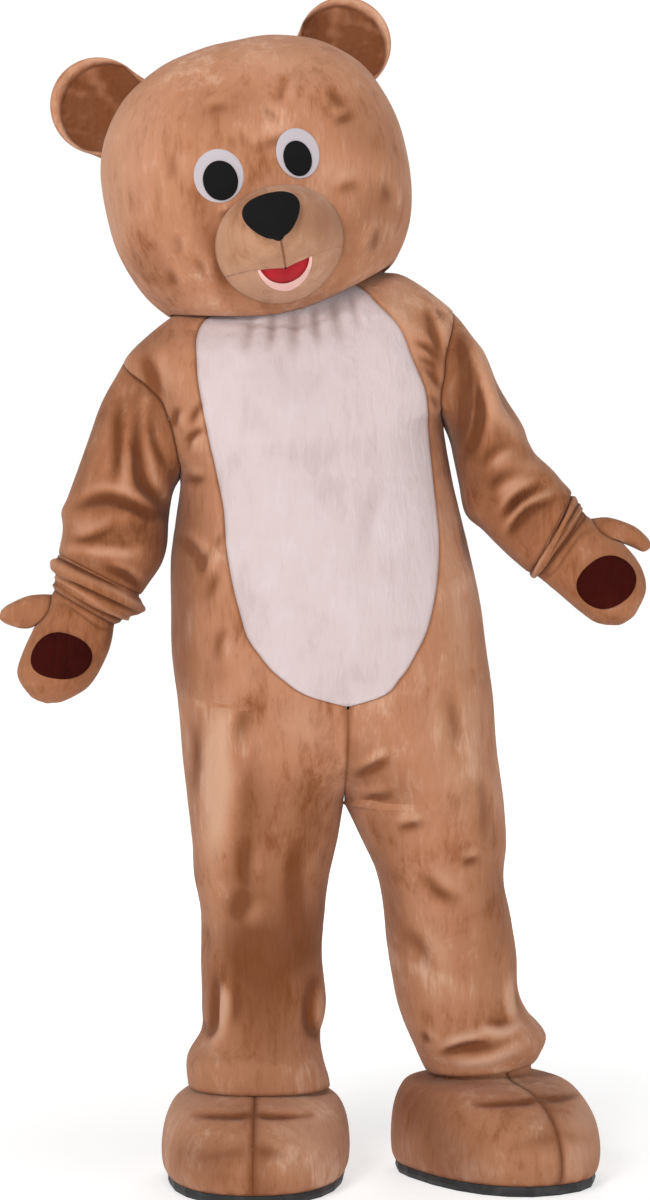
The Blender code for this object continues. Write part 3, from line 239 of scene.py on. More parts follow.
# Creases, by face: width, depth (below 0 is a trough), then x and z of points along it
BODY_CREASES = {
    "front": (
        (12, -5, -235, -27, -220, -69, -205, -114), (7, -5, -174, -117, -182, -138, -184, -159),
        (7, -4, -136, -112, -147, -133, -158, -155), (6, -4, -130, -157, -149, -165, -173, -178),
        (6, -3, -146, -163, -157, -179, -163, -197), (8, -4, -170, -228, -150, -238, -125, -235),
        (7, -2, -103, -321, -109, -337, -115, -351), (9, -5, 220, 59, 239, -3, 253, -71),
        (7, -4, 237, 50, 250, 35, 258, 13), (6, -4, 198, -12, 228, -27, 247, -57),
        (6, -4, 206, -39, 233, -52, 249, -79), (6, -4, 215, -52, 237, -74, 247, -97),
        (6, -3, 228, -101, 239, -112, 245, -127), (22, 5, -84, -512, -103, -655, -112, -796, -136, -917),
        (14, -4, -63, -896, -76, -922, -92, -949),
        (8, -9, -117, -1036, -117, -1082, -123, -1130, -154, -1157),
        (9, 5, -103, -1044, -101, -1084, -106, -1124), (6, -5, -133, -1116, -144, -1136, -157, -1148),
        (8, -8, 44, -1036, 37, -1084, 39, -1130, 63, -1162), (8, -4, 99, -718, 140, -699, 172, -682),
        (8, -4, 112, -755, 140, -750, 177, -742), (8, -4, 172, -804, 196, -796, 225, -791),
        (8, -4, 274, -857, 295, -853, 314, -849), (9, 7, 366, -1036, 362, -1084, 373, -1135),
        (8, -8, 373, -1078, 395, -1097, 412, -1120), (8, 7, 307, -1125, 347, -1135, 389, -1125),
        (8, -10, 244, -1176, 288, -1159, 334, -1151), (7, -4, 217, -1135, 225, -1148, 231, -1160),
        (10, 6, 253, -1187, 323, -1182, 395, -1152), (9, -2.4, -58, 50, -60, 4, -68, -46),
        (8, -3.2, -26, 54, -24, 6, -30, -40), (10, -3, 8, 56, 12, 12, 8, -52),
        (9, -3.4, 42, 62, 44, 20, 52, -34), (10, -2.6, 72, 74, 76, 32, 88, -30),
        (8, -2.4, 98, 84, 106, 40, 118, -2), (16, -1.5, 150, -230, 128, -300, 120, -380),
        (9, -3, -180, -330, -150, -352, -132, -390), (8, -3, -122, -346, -134, -372, -140, -398),
        (8, -2.5, -112, -380, -118, -410, -130, -440), (9, -3, -96, -470, -110, -500, -112, -540),
        (14, -3, -60, -590, -84, -650, -92, -720), (12, -3, -150, -620, -146, -690, -152, -760),
        (14, -3, 20, -800, 10, -880, 14, -960), (12, -2.5, -60, -800, -70, -860, -64, -910),
        (14, -3, 250, -560, 270, -630, 268, -700), (12, -3, 300, -700, 318, -760, 312, -830),
        (12, -4, 210, -860, 240, -900, 286, -920), (12, -3, 190, -960, 220, -1000, 240, -1050),
        (12, -4, 300, -250, 292, -320, 300, -390),
    ),
    "back": (
        (12, -6, -150, -600, -90, -650, 10, -690), (12, -6, 310, -610, 230, -655, 120, -695),
        (10, -6, -160, -860, -80, -885, 30, -880), (9, -5, -150, -925, -70, -905, 0, -915),
        (10, -6, 180, -870, 260, -895, 350, -880), (9, -5, 200, -930, 270, -915, 340, -925),
        (10, -6, -200, -60, -190, -120, -165, -190), (10, -6, 230, 20, 235, -50, 215, -120),
        (14, -4, -180, -380, -90, -430, 30, -440), (14, -4, 290, -360, 210, -420, 100, -440),
        (9, -7, -140, -1120, -60, -1150, 40, -1140), (9, 5, -130, -1170, -50, -1190, 50, -1180),
        (9, -7, 210, -1120, 290, -1150, 390, -1120), (9, 5, 230, -1170, 300, -1180, 400, -1160),
    ),
}
SLEEVE_CREASES = {
    "front": (
        (11, -6, -263, -55, -271, -139, -271, -208, -279, -255),
        (10, -7, -245, -75, -245, -173, -234, -242, -203, -285, -182, -324),
        (8, -5, -224, -102, -218, -173, -190, -229), (6, -3, -203, -121, -189, -174, -177, -216),
        (9, -8, -354, -290, -290, -268, -221, -294, -205, -306),
        (7, -5, -356, -337, -311, -332, -267, -311), (7, 5, -333, -356, -285, -355, -234, -363),
        (7, -5, -301, -377, -261, -392, -237, -416), (8, -6, 270, 22, 288, -67, 286, -134, 270, -197),
        (9, -7, 284, 12, 309, -84, 308, -152, 283, -215), (11, 7, 299, -17, 325, -97, 344, -134, 385, -184),
        (8, 4, 317, -229, 343, -203, 372, -192), (7, -10, 344, -305, 372, -269, 417, -242),
        (7, -8, 352, -337, 385, -292, 443, -265), (9, 5, 335, -271, 356, -248, 391, -229),
    ),
    "back": (
        (9, -8, -350, -280, -290, -300, -215, -310), (9, -5, -340, -250, -280, -262, -220, -255),
        (9, -7, -270, -80, -262, -160, -225, -230), (8, -6, -360, -335, -300, -345, -240, -370),
        (8, -7, 295, 0, 300, -90, 285, -180), (9, -8, 320, -240, 360, -215, 400, -185),
        (8, -6, 330, -290, 380, -250, 420, -215), (8, -7, 360, -340, 400, -300, 450, -260),
    ),
}
# Dents and tufts in the head's plush, in the same columns
HEAD_CREASES = {
    "front": (
        (6, -2.5, -78, 305, -66, 290, -60, 272), (6, -2, -92, 300, -84, 284, -80, 268),
        (8, -2.5, -2, 400, -8, 372, -10, 346), (10, -3, 66, 380, 80, 362, 92, 340),
        (8, -3, 70, 318, 92, 330, 112, 344), (9, -2.5, -62, 268, -20, 286, 18, 296),
        (9, -2, -130, 330, -108, 342, -84, 338), (7, -2, -40, 344, -24, 332, -14, 314),
        (9, -3, 78, 206, 98, 222, 122, 226), (6, -3, -108, 168, -94, 174, -82, 176),
        (10, -3, -96, 128, -104, 92, -92, 60), (8, -2, -150, 112, -138, 96, -132, 76),
        (8, -2.5, -196, 96, -184, 82, -178, 62), (7, -2, -176, 150, -170, 130, -172, 110),
        (6, -2, -30, 30, -26, 18, -30, 8), (6, -2, 34, 44, 44, 30, 42, 18),
        (9, -2, 150, 240, 160, 218, 158, 196), (9, -2.5, 130, 120, 142, 142, 150, 168),
        (9, -2, -190, 270, -180, 250, -184, 226),
    ),
    "back": (
        (10, -2.5, -120, 380, -90, 350, -84, 310), (10, -2.5, 60, 360, 84, 330, 80, 290),
        (10, -2.5, -170, 220, -150, 180, -160, 130), (10, -2.5, 100, 200, 120, 160, 110, 110),
        (10, -2, -60, 240, -20, 220, 10, 230), (9, -2.5, -50, 120, -20, 100, 10, 110),
    ),
}
# Broad painted shade (below 0) and painted highlight along sides, folds and ridges, partly the pile's
# brushed nap, by node: x1, z1, x2, z2, width, strength
SHADE_AND_NAP = {
    "front_left": (
        (-175, -300, -176, -560, 42, -0.75), (-150, -330, -140, -420, 30, -0.25),
        (-60, -560, -110, -700, 40, 0.35), (-150, -640, -148, -880, 26, -0.35),
        (40, -700, 20, -1000, 32, -0.45), (-150, -330, -128, -560, 22, 0.15),
        (-100, -560, -80, -620, 30, -0.55), (20, -620, 60, -700, 40, 0.35),
        (-30, -760, -60, -1000, 46, -0.35), (-120, -900, -118, -1010, 24, 0.35),
        (-40, -1020, -30, -1130, 60, -0.45), (-230, 0, -215, -110, 34, -0.35),
        (-190, -180, -190, -260, 30, -0.4),
    ),
    "front_right": (
        (290, -330, 325, -560, 24, -0.45), (262, -300, 290, -520, 30, 0.45),
        (240, -620, 300, -760, 40, 0.25), (110, -690, 170, -740, 34, -0.5),
        (150, -800, 190, -980, 26, -0.4), (330, -800, 345, -980, 28, -0.3),
        (210, -900, 250, -1060, 40, 0.35), (218, 20, 250, -70, 16, -0.35), (180, 70, 180, -60, 34, 0.55),
    ),
    "sleeve_left": (
        (-235, -100, -215, -250, 34, -0.6), (-300, -90, -340, -250, 16, -0.3),
        (-268, -90, -262, -250, 10, 0.7), (-232, -110, -214, -240, 9, 0.6),
        (-330, -312, -250, -296, 12, 0.55), (-350, -350, -240, -352, 8, 0.6),
        (-290, -290, -220, -330, 34, -0.45), (-330, -370, -250, -400, 24, -0.4),
    ),
    "sleeve_right": (
        (280, -20, 290, -180, 28, -0.65), (300, 0, 330, -120, 11, 0.65), (345, -60, 400, -180, 16, 0.5),
        (340, -215, 400, -215, 12, 0.55), (360, -300, 420, -262, 10, 0.6), (320, -240, 380, -300, 34, -0.5),
        (300, -120, 320, -200, 24, -0.35),
    ),
    "head_front": (
        (-290, 200, -240, 330, 60, 0.35), (-60, 420, 60, 400, 40, 0.4), (-130, 340, -60, 360, 46, -0.3),
        (70, 380, 130, 290, 50, -0.3), (96, 140, 150, 210, 40, -0.4), (10, 250, 24, 240, 26, -0.35),
        (-100, 130, -92, 70, 26, -0.75), (-60, 50, 90, 50, 24, -0.4), (-140, 40, -60, 20, 40, 0.3),
        (60, 250, 130, 250, 30, 0.35), (-20, 200, 50, 190, 24, 0.35), (-230, 110, -160, 60, 40, -0.3),
        (-130, 190, -110, 120, 30, -0.35),
    ),
    "muzzle_left": ((-60, 196, 20, 200, 34, -0.45), (-70, 130, -50, 100, 26, 0.2)),
    "muzzle_right": ((20, 200, 66, 180, 34, -0.4), (20, 150, 50, 146, 24, -0.35)),
    "muzzle_chin": ((-60, 90, -10, 50, 30, 0.3),),
    "back_left": ((-150, -300, -160, -600, 50, -0.4), (-60, -760, -70, -1000, 40, -0.4)),
    "back_right": ((280, -300, 300, -600, 50, -0.4), (250, -780, 280, -1000, 40, -0.4)),
    "shoe_left_outer": ((-160, -1306, -110, -1320, 30, -0.55), (-187, -1271, -150, -1230, 32, 0.5)),
    "shoe_left_inner": ((20, -1230, 34, -1290, 42, 0.5), (-39, -1300, -34, -1350, 20, -0.4)),
    "shoe_right_inner": ((216, -1262, 260, -1320, 56, -0.65),),
    "shoe_right_outer": ((474, -1270, 468, -1330, 34, 0.6), (392, -1262, 430, -1240, 26, -0.45)),
}
# Gathers round the cuffs: where they lie along it, how deep, and how much they slant
CUFF_RINGS = {
    "left": ((0.30, -6, 0.05), (0.44, 4, 0.04), (0.56, -7, -0.06), (0.70, 5, 0.05), (0.82, -6, 0.04)),
    "right": ((0.34, -6, -0.06), (0.48, 4, 0.04), (0.62, -7, 0.05), (0.76, 5, -0.04), (0.88, -5, 0.03)),
}

# Sewing
SEAM_DROP = 2.0 * MM
SEAM_WIDTH = 5.0 * MM
# Painted shade: the width of the dark line along seams, and the relief that gives full painted shade in a
# trough or painted highlight on a ridge
SEAM_SHADE = 3.5 * MM
RELIEF_TONE = 3.6 * MM
PUCKER = 0.5 * MM
LUMP = 1.2 * MM
EVEN_EDGE = 12.0 * MM
# Share of the seam's drop where a piece ends on another's edge
HOLE_DROP = 0.3
WRIST_DROP = 0.1
# Over how far folds and creases fade from front to back, and a lip's height against its trough's depth
FOLD_BLEND = 0.05
CREASE_BLEND = 0.04
LIP_SHARE = 0.45
GATHER_WIDTH = 0.045

# How finely the pieces are divided, and where the mitts' and thumbs' tips end in rows
TURNS = np.linspace(0, 1, 120, endpoint=False)
SIDE_COLUMNS = 61
TUMMY_COLUMNS = 91
MITT_COLUMNS = 51
SHOE_SIDE_COLUMNS = 81
MITT_END = 5.97
THUMB_END = 4.96


def bell(distance, width):
    """1 at no distance, falling smoothly to 0 beyond about two widths."""
    return np.exp(-((distance / width) ** 2))


def unit(value):
    return np.clip(value, 0, 1)


def joined(*columns):
    return np.stack(columns, axis=-1)


def power(value, exponent):
    return np.sign(value) * np.abs(value) ** exponent


def spline(last, at, pick):
    """A smooth curve through numbered rows, and straight past its ends. pick gives the rows of an index."""
    start = np.clip(np.floor(at).astype(int), 0, last - 1)
    t = (at - start)[..., None]
    before, here, there, after = (pick(np.clip(start + step, 0, last)) for step in (-1, 0, 1, 2))
    slope_here = (there - before) / np.where(start > 0, 2, 1)[..., None]
    slope_there = (after - here) / np.where(start < last - 1, 2, 1)[..., None]
    inside = unit(t)
    past = t - inside
    curve = ((2 * inside**3 - 3 * inside**2 + 1) * here + (inside**3 - 2 * inside**2 + inside) * slope_here
             + (3 * inside**2 - 2 * inside**3) * there + (inside**3 - inside**2) * slope_there)
    return curve + past * np.where(past < 0, slope_here, slope_there)


def along(rows, at):
    rows = np.asarray(rows, dtype=float)
    return spline(len(rows) - 1, at, lambda index: rows[index])


def between(loops, at):
    """The same for loops of points, each point with a place of its own."""
    def pick(index):
        return np.take_along_axis(loops, index[None, ..., None], axis=0)[0]

    return spline(len(loops) - 1, at, pick)


def line_distance(points, x1, z1, x2, z2):
    """How far points lie from a line, as seen from the front."""
    start = np.array((x1, z1)) * MM
    run = np.array((x2, z2)) * MM - start
    flat = points[..., (0, 2)] - start
    place = unit((flat @ run) / (run @ run))
    return np.linalg.norm(flat - place[..., None] * run, axis=-1)


def facing(face, points, middle_y, blend):
    """1 on the named face, falling to 0 at the piece's middle."""
    side = -1 if face == "front" else 1
    return unit(side * (points[..., 1] - middle_y) / blend)


def fold_depth(points, folds, middle_y):
    """How far the broad folds lift or sink each point, by its distance from each fold's line."""
    total = np.zeros(points.shape[:-1])
    for face, rows in folds.items():
        turned = facing(face, points, middle_y, FOLD_BLEND)
        for *line, width, depth in rows:
            distance = line_distance(points, *line)
            total += depth * MM * turned * bell(distance, width * MM)
    return total


def crease_depth(points, creases, middle_y):
    """Each listed line is a soft trough with a lip beside it, deepest in its middle and gone at its ends."""
    total = np.zeros(points.shape[:-1])
    flat = points[..., (0, 2)]
    low, high = flat.reshape(-1, 2).min(axis=0), flat.reshape(-1, 2).max(axis=0)
    for face, rows in creases.items():
        turned = facing(face, points, middle_y, CREASE_BLEND)
        for width, depth, *spots in rows:
            spots = np.reshape(spots, (-1, 2)) * MM
            line = along(spots, np.linspace(0, len(spots) - 1, 5 * len(spots)))
            if (line.max(axis=0) < low - 0.05).any() or (line.min(axis=0) > high + 0.05).any():
                continue
            nearest = np.full(flat.shape[:-1], np.inf)
            offset, place = np.zeros(flat.shape[:-1]), np.zeros(flat.shape[:-1])
            for number, (start, end) in enumerate(zip(line[:-1], line[1:])):
                run, away = end - start, flat - start
                t = unit((away @ run) / (run @ run))
                distance = np.linalg.norm(away - t[..., None] * run, axis=-1)
                cross = run[0] * away[..., 1] - run[1] * away[..., 0]
                closer = distance < nearest
                nearest = np.where(closer, distance, nearest)
                offset = np.where(closer, np.sign(cross) * distance, offset)
                place = np.where(closer, (number + t) / (len(line) - 1), place)
            fade = np.sin(np.pi * unit(place)) ** 1.3
            size = width * MM
            trough = bell(offset, size)
            lip = LIP_SHARE * bell(offset - 1.9 * size, 1.1 * size)
            total += depth * MM * turned * fade * (trough - lip)
    return total


def shade_and_nap_tone(points, node):
    """The broad painted shade and highlight of one piece, partly its brushed nap."""
    total = np.zeros(points.shape[:-1])
    for *line, width, strength in SHADE_AND_NAP.get(node, ()):
        total += strength * bell(line_distance(points, *line), width * MM)
    return total


def lumps(points, wavelength, seed):
    """Gentle unevenness between -1 and 1: a few crossed waves."""
    random = np.random.default_rng(seed)
    total = np.zeros(points.shape[:-1])
    for _ in range(7):
        direction = random.normal(size=3)
        direction /= np.linalg.norm(direction)
        length = wavelength * random.uniform(0.7, 1.6)
        total += np.sin(points @ direction * 2 * np.pi / length + random.uniform(0, 2 * np.pi))
    return total / 4


def surface_normal(points, u, v, step):
    """Unit normals of a surface that two parameters give."""
    across = points(u + step, v) - points(u - step, v)
    down = points(u, v + step) - points(u, v - step)
    normal = np.cross(across, down)
    return normal / np.maximum(np.linalg.norm(normal, axis=-1, keepdims=True), 1e-12)


def folded(plain, u, v, folds, middle_y, fade):
    """Points of a plain surface, moved along its normals by the broad folds."""
    base = plain(u, v)
    depth = fade * fold_depth(base, folds, middle_y)
    return base + surface_normal(plain, u, v, 1e-3) * depth[..., None]


class Skin:
    """A smooth outer surface: points from two parameters, and the normals that face out."""

    def __init__(self, points, probe, inside):
        self.points = points
        self.sign = 1.0
        u, v = (np.array([value]) for value in probe)
        self.sign = math.copysign(1.0, self.normals(u, v)[0] @ (points(u, v)[0] - inside))

    def normals(self, u, v):
        return self.sign * surface_normal(self.points, u, v, 1e-4)


def half_ring(rows, quarter, at, sag=2):
    """Points of one side of the suit: quarter 0 is the side seam, 1 the front centre or inner
    leg seam, -1 the same behind. sag above 1 lets the cloth fall from the shoulder first."""
    above = along(rows[:CROTCH_ROW + 1], np.minimum(at, CROTCH_ROW))
    place = above
    if len(rows) > CROTCH_ROW:
        below = along(rows[CROTCH_ROW:], np.maximum(at - CROTCH_ROW, 0))
        place = np.where((at <= CROTCH_ROW)[..., None], above, below)
    outer_x, outer_z, inner_x, inner_z, middle_y, front, back = (place[..., i] * MM for i in range(7))
    turn = np.clip(place[..., 7], 90, 180)
    angle = np.radians(quarter * turn)
    reach = (inner_x - outer_x) / (1 - power(np.cos(np.radians(turn)), ROUND))
    share = (1 - power(np.cos(angle), ROUND)) / (1 - power(np.cos(np.radians(turn)), ROUND))
    x = outer_x + reach * (1 - power(np.cos(angle), ROUND))
    depth = np.where(np.sin(angle) > 0, front, back)
    y = middle_y - depth * power(np.sin(angle), ROUND)
    z = inner_z + (outer_z - inner_z) * (1 - share) ** sag
    return joined(x, y, z)


def side_skin(rows):
    outward = np.sign(rows[0][0])

    def plain(quarter, at):
        return half_ring(rows, quarter, at)

    def points(quarter, at):
        fade = outward * unit(np.abs(quarter % 2 - 1) / CENTRE_FADE)
        return folded(plain, quarter, at, BODY_FOLDS, 0.0, fade)

    return Skin(points, (0.5, 10.0), (rows[10][2] * MM, 0.0, rows[10][3] * MM))


def centre_skin(left, right, face):
    """Both sides as one: 0 is the left side seam, 1 the centre line, 2 the right side seam.
    face is 1 for the front and -1 for the back."""
    def points(across, at):
        on_left = left.points(face * np.minimum(across, 1.0), at)
        on_right = right.points(face * np.minimum(2.0 - across, 1.0), at)
        return np.where((across <= 1.0)[..., None], on_left, on_right)

    return Skin(points, (0.9, 9.0), (0.0, 0.0, -0.35))


def hole_edge(skin, hole):
    """The loop round an oval hole in a skin, by turn from 0 to 1; 0 is its top or near end."""
    middle, reach, half = hole

    def loop(turn):
        angle = 2 * np.pi * turn
        return skin.points(half * np.sin(angle), middle - reach * np.cos(angle))

    return loop


def hole_quarter(rows, hole):
    """Half the width of a hole at each row, 0 above and below it."""
    middle, reach, half = hole
    return half * np.sqrt(1 - np.clip((rows - middle) / reach, -1, 1) ** 2)


def full_ring(row, turn):
    outer_x, outer_z, inner_x, inner_z, middle_y, front, back = (value * MM for value in row[:7])
    cosine = power(np.cos(2 * np.pi * turn), ROUND)
    sine = power(np.sin(2 * np.pi * turn), ROUND)
    x = (outer_x + inner_x) / 2 + (outer_x - inner_x) / 2 * cosine
    z = (outer_z + inner_z) / 2 + (outer_z - inner_z) / 2 * cosine
    y = middle_y - np.where(sine > 0, front, back) * sine
    return joined(x, y, z)


def limb_skin(rows, roots, folds=None, probe_row=2):
    """A closed tube through rings that starts with the loops in roots, such as a hole's edge."""
    def plain(turn, at):
        loops = np.stack([loop(turn) for loop in roots] + [full_ring(row, turn) for row in rows])
        return between(loops, np.broadcast_to(at, turn.shape))

    def creased(turn, at):
        fade = unit(at / 0.8) * unit((len(rows) - at) / 0.8)
        return folded(plain, turn, at, folds, -0.02, -np.sign(rows[0][0]) * fade)

    middle = np.mean(full_ring(rows[probe_row], np.linspace(0, 1, 8, endpoint=False)), axis=0)
    return Skin(creased if folds else plain, (0.25, probe_row + len(roots)), middle)


def mitt_skin(rows):
    """Quarter 0 is the thumb side, 1 the other side, 0.5 the palm and -0.5 the back."""
    full = [row + (180,) for row in rows]
    outer_x, outer_z, inner_x, inner_z, middle_y = rows[1][:5]
    middle = ((outer_x + inner_x) / 2 * MM, middle_y * MM, (outer_z + inner_z) / 2 * MM)
    return Skin(lambda quarter, at: half_ring(full, quarter, at, sag=1), (0.5, 1.5), middle)


def shoe_skin(place, leg, mirrored):
    """Turn 0 is the toe and -1 and 1 the heel; level 0 is the collar in the leg, the last the sole."""
    rows = np.array(SHOE_RINGS, dtype=float)
    rows[:ANKLE_RINGS, 1:] *= place["ankle"]
    yaw = place["yaw"]

    def collar(turn):
        lag = round(yaw / np.pi * (SHOE_COLUMNS - 1)) / (SHOE_COLUMNS - 1)
        quarter = 0.5 + (turn + lag) * (-1 if mirrored else 1)
        at = np.full(turn.shape, COLLAR_ROW)
        return leg.points(quarter, at) - leg.normals(quarter, at) * (PLUSH + CLEAR)

    def ring(row, turn):
        height, half_width, toe, heel = row * MM
        sine = power(np.sin(np.pi * turn), ROUND)
        cosine = power(np.cos(np.pi * turn), ROUND)
        across = half_width * sine
        ahead = np.where(cosine > 0, toe, heel) * cosine
        x = place["x"] + across * math.cos(yaw) + ahead * math.sin(yaw)
        y = place["y"] + across * math.sin(yaw) - ahead * math.cos(yaw)
        return joined(x, y, np.full(turn.shape, FLOOR + height * place["rise"]))

    def points(turn, at):
        loops = np.stack([collar(turn)] + [ring(row, turn) for row in rows], axis=0)
        return between(loops, np.broadcast_to(at, turn.shape))

    return Skin(points, (0.5, 6.0), (place["x"], place["y"], FLOOR + 0.08))


def from_head(points):
    return np.asarray(points) @ np.array(HEAD_TURN).T + np.array(HEAD_CENTRE)


def head_front_y(x, z):
    height = np.where(z > 0, HEAD_UP, HEAD_DOWN)
    rest = 1 - np.abs(x / HEAD_HALF) ** HEAD_POWER - np.abs(z / height) ** HEAD_POWER
    return -HEAD_FRONT * np.clip(rest, 1e-4, 1) ** (1 / HEAD_POWER)


def head_skin():
    """Around 0 is the face, -1 and 1 the back; level 0 is the rim and 1 the crown."""
    def points(around, level):
        angle = np.pi * around
        cosine = np.cos(angle)
        side_rim = np.where(np.sin(angle) > 0, RIM_RIGHT, RIM_LEFT)
        end_rim = np.where(cosine > 0, RIM_FRONT, RIM_BACK)
        rim = side_rim + (end_rim - side_rim) * np.abs(cosine) ** 1.4
        low = -np.arccos((1 - (-rim / HEAD_DOWN) ** HEAD_POWER) ** 0.5)
        lift = low + (np.pi / 2 - low) * level
        flat = np.abs(np.cos(lift)) ** (2 / HEAD_POWER)
        height = power(np.sin(lift), 2 / HEAD_POWER) * np.where(lift > 0, HEAD_UP, HEAD_DOWN)
        x = HEAD_HALF * flat * power(np.sin(angle), 2 / HEAD_POWER)
        y = -np.where(cosine > 0, HEAD_FRONT, HEAD_BACK) * flat * power(cosine, 2 / HEAD_POWER)
        return from_head(joined(x, y, height))

    return Skin(points, (0.2, 0.5), tuple(HEAD_CENTRE))


def face_skin():
    """The front of the head by its own x and z."""
    def points(x, z):
        return from_head(joined(x, head_front_y(x, z), z))

    return Skin(points, (0.0, 0.0), tuple(HEAD_CENTRE))


def muzzle_far(x, z):
    """0 in the muzzle's middle and 1 on its rim."""
    tall = np.where(z > MUZZLE_Z, MUZZLE_HIGH, MUZZLE_LOW)
    return (x / MUZZLE_HALF) ** 2 + ((z - MUZZLE_Z) / tall) ** 2


def muzzle_rise(x, z):
    """Height of the muzzle over the head, with a furrow down the philtrum and along the mouth."""
    dome = MUZZLE_RISE * unit(1 - muzzle_far(x, z)) ** 0.72
    below = z - MOUTH[1] - np.abs(x - MOUTH[0]) * math.tan(SMILE)
    furrow = 0.010 * bell(x - MOUTH[0], 0.012) * unit((NOSE_END - z) / 0.01)
    beside = unit((np.abs(x - MOUTH[0]) - MOUTH_HALF) / 0.012)
    line = 0.012 * bell(below, 0.011) * (1 - 0.7 * beside)
    return np.maximum(dome - (furrow + line) * unit(dome / 0.03), 0)


def muzzle_skin():
    def points(x, z):
        y = head_front_y(x, z) - muzzle_rise(x, z)
        return from_head(joined(x, y, z))

    return Skin(points, (0.013, -0.1), tuple(HEAD_CENTRE))


def muzzle_rim(angle):
    """Distance from the mouth's middle to the muzzle's rim at an angle, by halving."""
    low = np.zeros(angle.shape)
    high = np.full(angle.shape, 0.3)
    for _ in range(30):
        middle = (low + high) / 2
        inside = muzzle_far(MOUTH[0] + middle * np.cos(angle), MOUTH[1] + middle * np.sin(angle)) < 0.985
        low = np.where(inside, middle, low)
        high = np.where(inside, high, middle)
    return low


def ring_faces(fine, coarse, closed):
    """Faces between the fine layer's edge and the coarse layer's, two fine steps to each coarse one."""
    faces = []
    for k in range(len(coarse) if closed else len(coarse) - 1):
        steps = [fine[(2 * k + step) % len(fine)] for step in range(3)]
        faces.append(steps + [coarse[(k + 1) % len(coarse)], coarse[k]])
    return faces


def grid_faces(start, rows, columns, closed):
    spans = columns if closed else columns - 1
    row, column = np.meshgrid(np.arange(rows - 1), np.arange(spans), indexing="ij")
    beside = (column + 1) % columns
    corners = (row * columns + column, row * columns + beside,
               (row + 1) * columns + beside, (row + 1) * columns + column)
    return np.stack([corner.ravel() for corner in corners], axis=-1) + start


def placed(name, data):
    made = bpy.data.objects.new(name, data)
    bpy.context.scene.collection.objects.link(made)
    return made


def shell(kind, node, look, outer, inner, shade=None, closed=False, capped=False):
    """A closed thin body: a fine outer layer and an inner layer with half its rows and columns."""
    rows, columns = outer.shape[:2]
    inner = inner[::2, ::2]
    count = rows * columns
    vertices = np.concatenate((outer.reshape(-1, 3), inner.reshape(-1, 3)))
    faces = grid_faces(0, rows, columns, closed).tolist()
    faces += grid_faces(count, *inner.shape[:2], closed)[:, ::-1].tolist()
    fine = np.arange(count).reshape(rows, columns)
    coarse = count + np.arange(inner.shape[0] * inner.shape[1]).reshape(inner.shape[:2])
    faces += ring_faces(fine[0], coarse[0], closed)
    if capped:
        faces += [fine[-1].tolist(), coarse[-1].tolist()[::-1]]
    else:
        faces += [face[::-1] for face in ring_faces(fine[-1], coarse[-1], closed)]
    if not closed:
        faces += [face[::-1] for face in ring_faces(fine[:, 0], coarse[:, 0], False)]
        faces += ring_faces(fine[:, -1], coarse[:, -1], False)
    mesh = bpy.data.meshes.new(kind + "_" + node)
    mesh.from_pydata(vertices.tolist(), [], [list(map(int, face)) for face in faces])
    mesh.update()
    if mesh_volume(vertices, mesh) < 0:
        mesh.flip_normals()
    mesh.shade_smooth()
    mesh.set_sharp_from_angle(angle=math.radians(70))
    # Painted shade below 0 and painted highlight above 0 on the outer layer, which the plush colour mixes in
    values = np.zeros(len(vertices), np.float32)
    if shade is not None:
        values[:count] = shade.ravel()
    mesh.attributes.new("painted_shade", "FLOAT", "POINT").data.foreach_set("value", values)
    mesh.materials.append(LOOKS[look][0])
    made = placed(kind + "_" + node, mesh)
    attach(made, "root")
    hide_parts(node)
    return made


def mesh_volume(vertices, mesh):
    mesh.calc_loop_triangles()
    corners = np.zeros(len(mesh.loop_triangles) * 3, np.int32)
    mesh.loop_triangles.foreach_get("vertices", corners)
    a, b, c = (vertices[corners.reshape(-1, 3)[:, i]] for i in range(3))
    return float((a * np.cross(b, c)).sum())


def edge_runs(points, closed):
    """Distance along the cloth from each of its edges."""
    edges = {}
    for axis, first, last in ((0, "start", "end"), (1, "low", "high"))[:1 if closed else 2]:
        steps = np.linalg.norm(np.diff(points, axis=axis), axis=-1)
        run = np.concatenate((0 * steps.take([0], axis), np.cumsum(steps, axis=axis)), axis=axis)
        edges[first], edges[last] = run, run.take([-1], axis) - run
    return edges


def seams(points, closed, drops=None, skip=()):
    """The cloth rolls down to its seams, with small puckers across them. drops scales it by edge."""
    total = np.zeros(points.shape[:-1])
    pucker = lumps(points, 0.016, 3)
    for name, distance in edge_runs(points, closed).items():
        if name not in skip:
            share = (drops or {}).get(name, 1.0)
            total -= share * SEAM_DROP * np.exp(-distance / SEAM_WIDTH)
            total += share * PUCKER * pucker * np.exp(-distance / 0.014) * unit(distance / 0.003)
    return np.maximum(total, -SEAM_DROP)


def near_edges(points, closed, width, skip=()):
    """1 on the piece's edges, falling to 0 inside it."""
    total = np.zeros(points.shape[:-1])
    for name, distance in edge_runs(points, closed).items():
        if name not in skip:
            total = np.maximum(total, bell(distance, width))
    return total


def cut_of(points, closed):
    """Width, length and area of the cloth as cut: what its rows and columns measure along it."""
    ring = np.concatenate((points, points[:, :1]), axis=1) if closed else points
    width = np.linalg.norm(np.diff(ring, axis=1), axis=-1).sum(axis=1).max()
    length = np.linalg.norm(np.diff(points, axis=0), axis=-1).sum(axis=0).max()
    one, other = ring[1:, 1:] - ring[:-1, :-1], ring[1:, :-1] - ring[:-1, 1:]
    area = np.linalg.norm(np.cross(one, other), axis=-1).sum() / 2
    return float(width), float(length), float(np.clip(area, 0.301 * width * length, width * length))


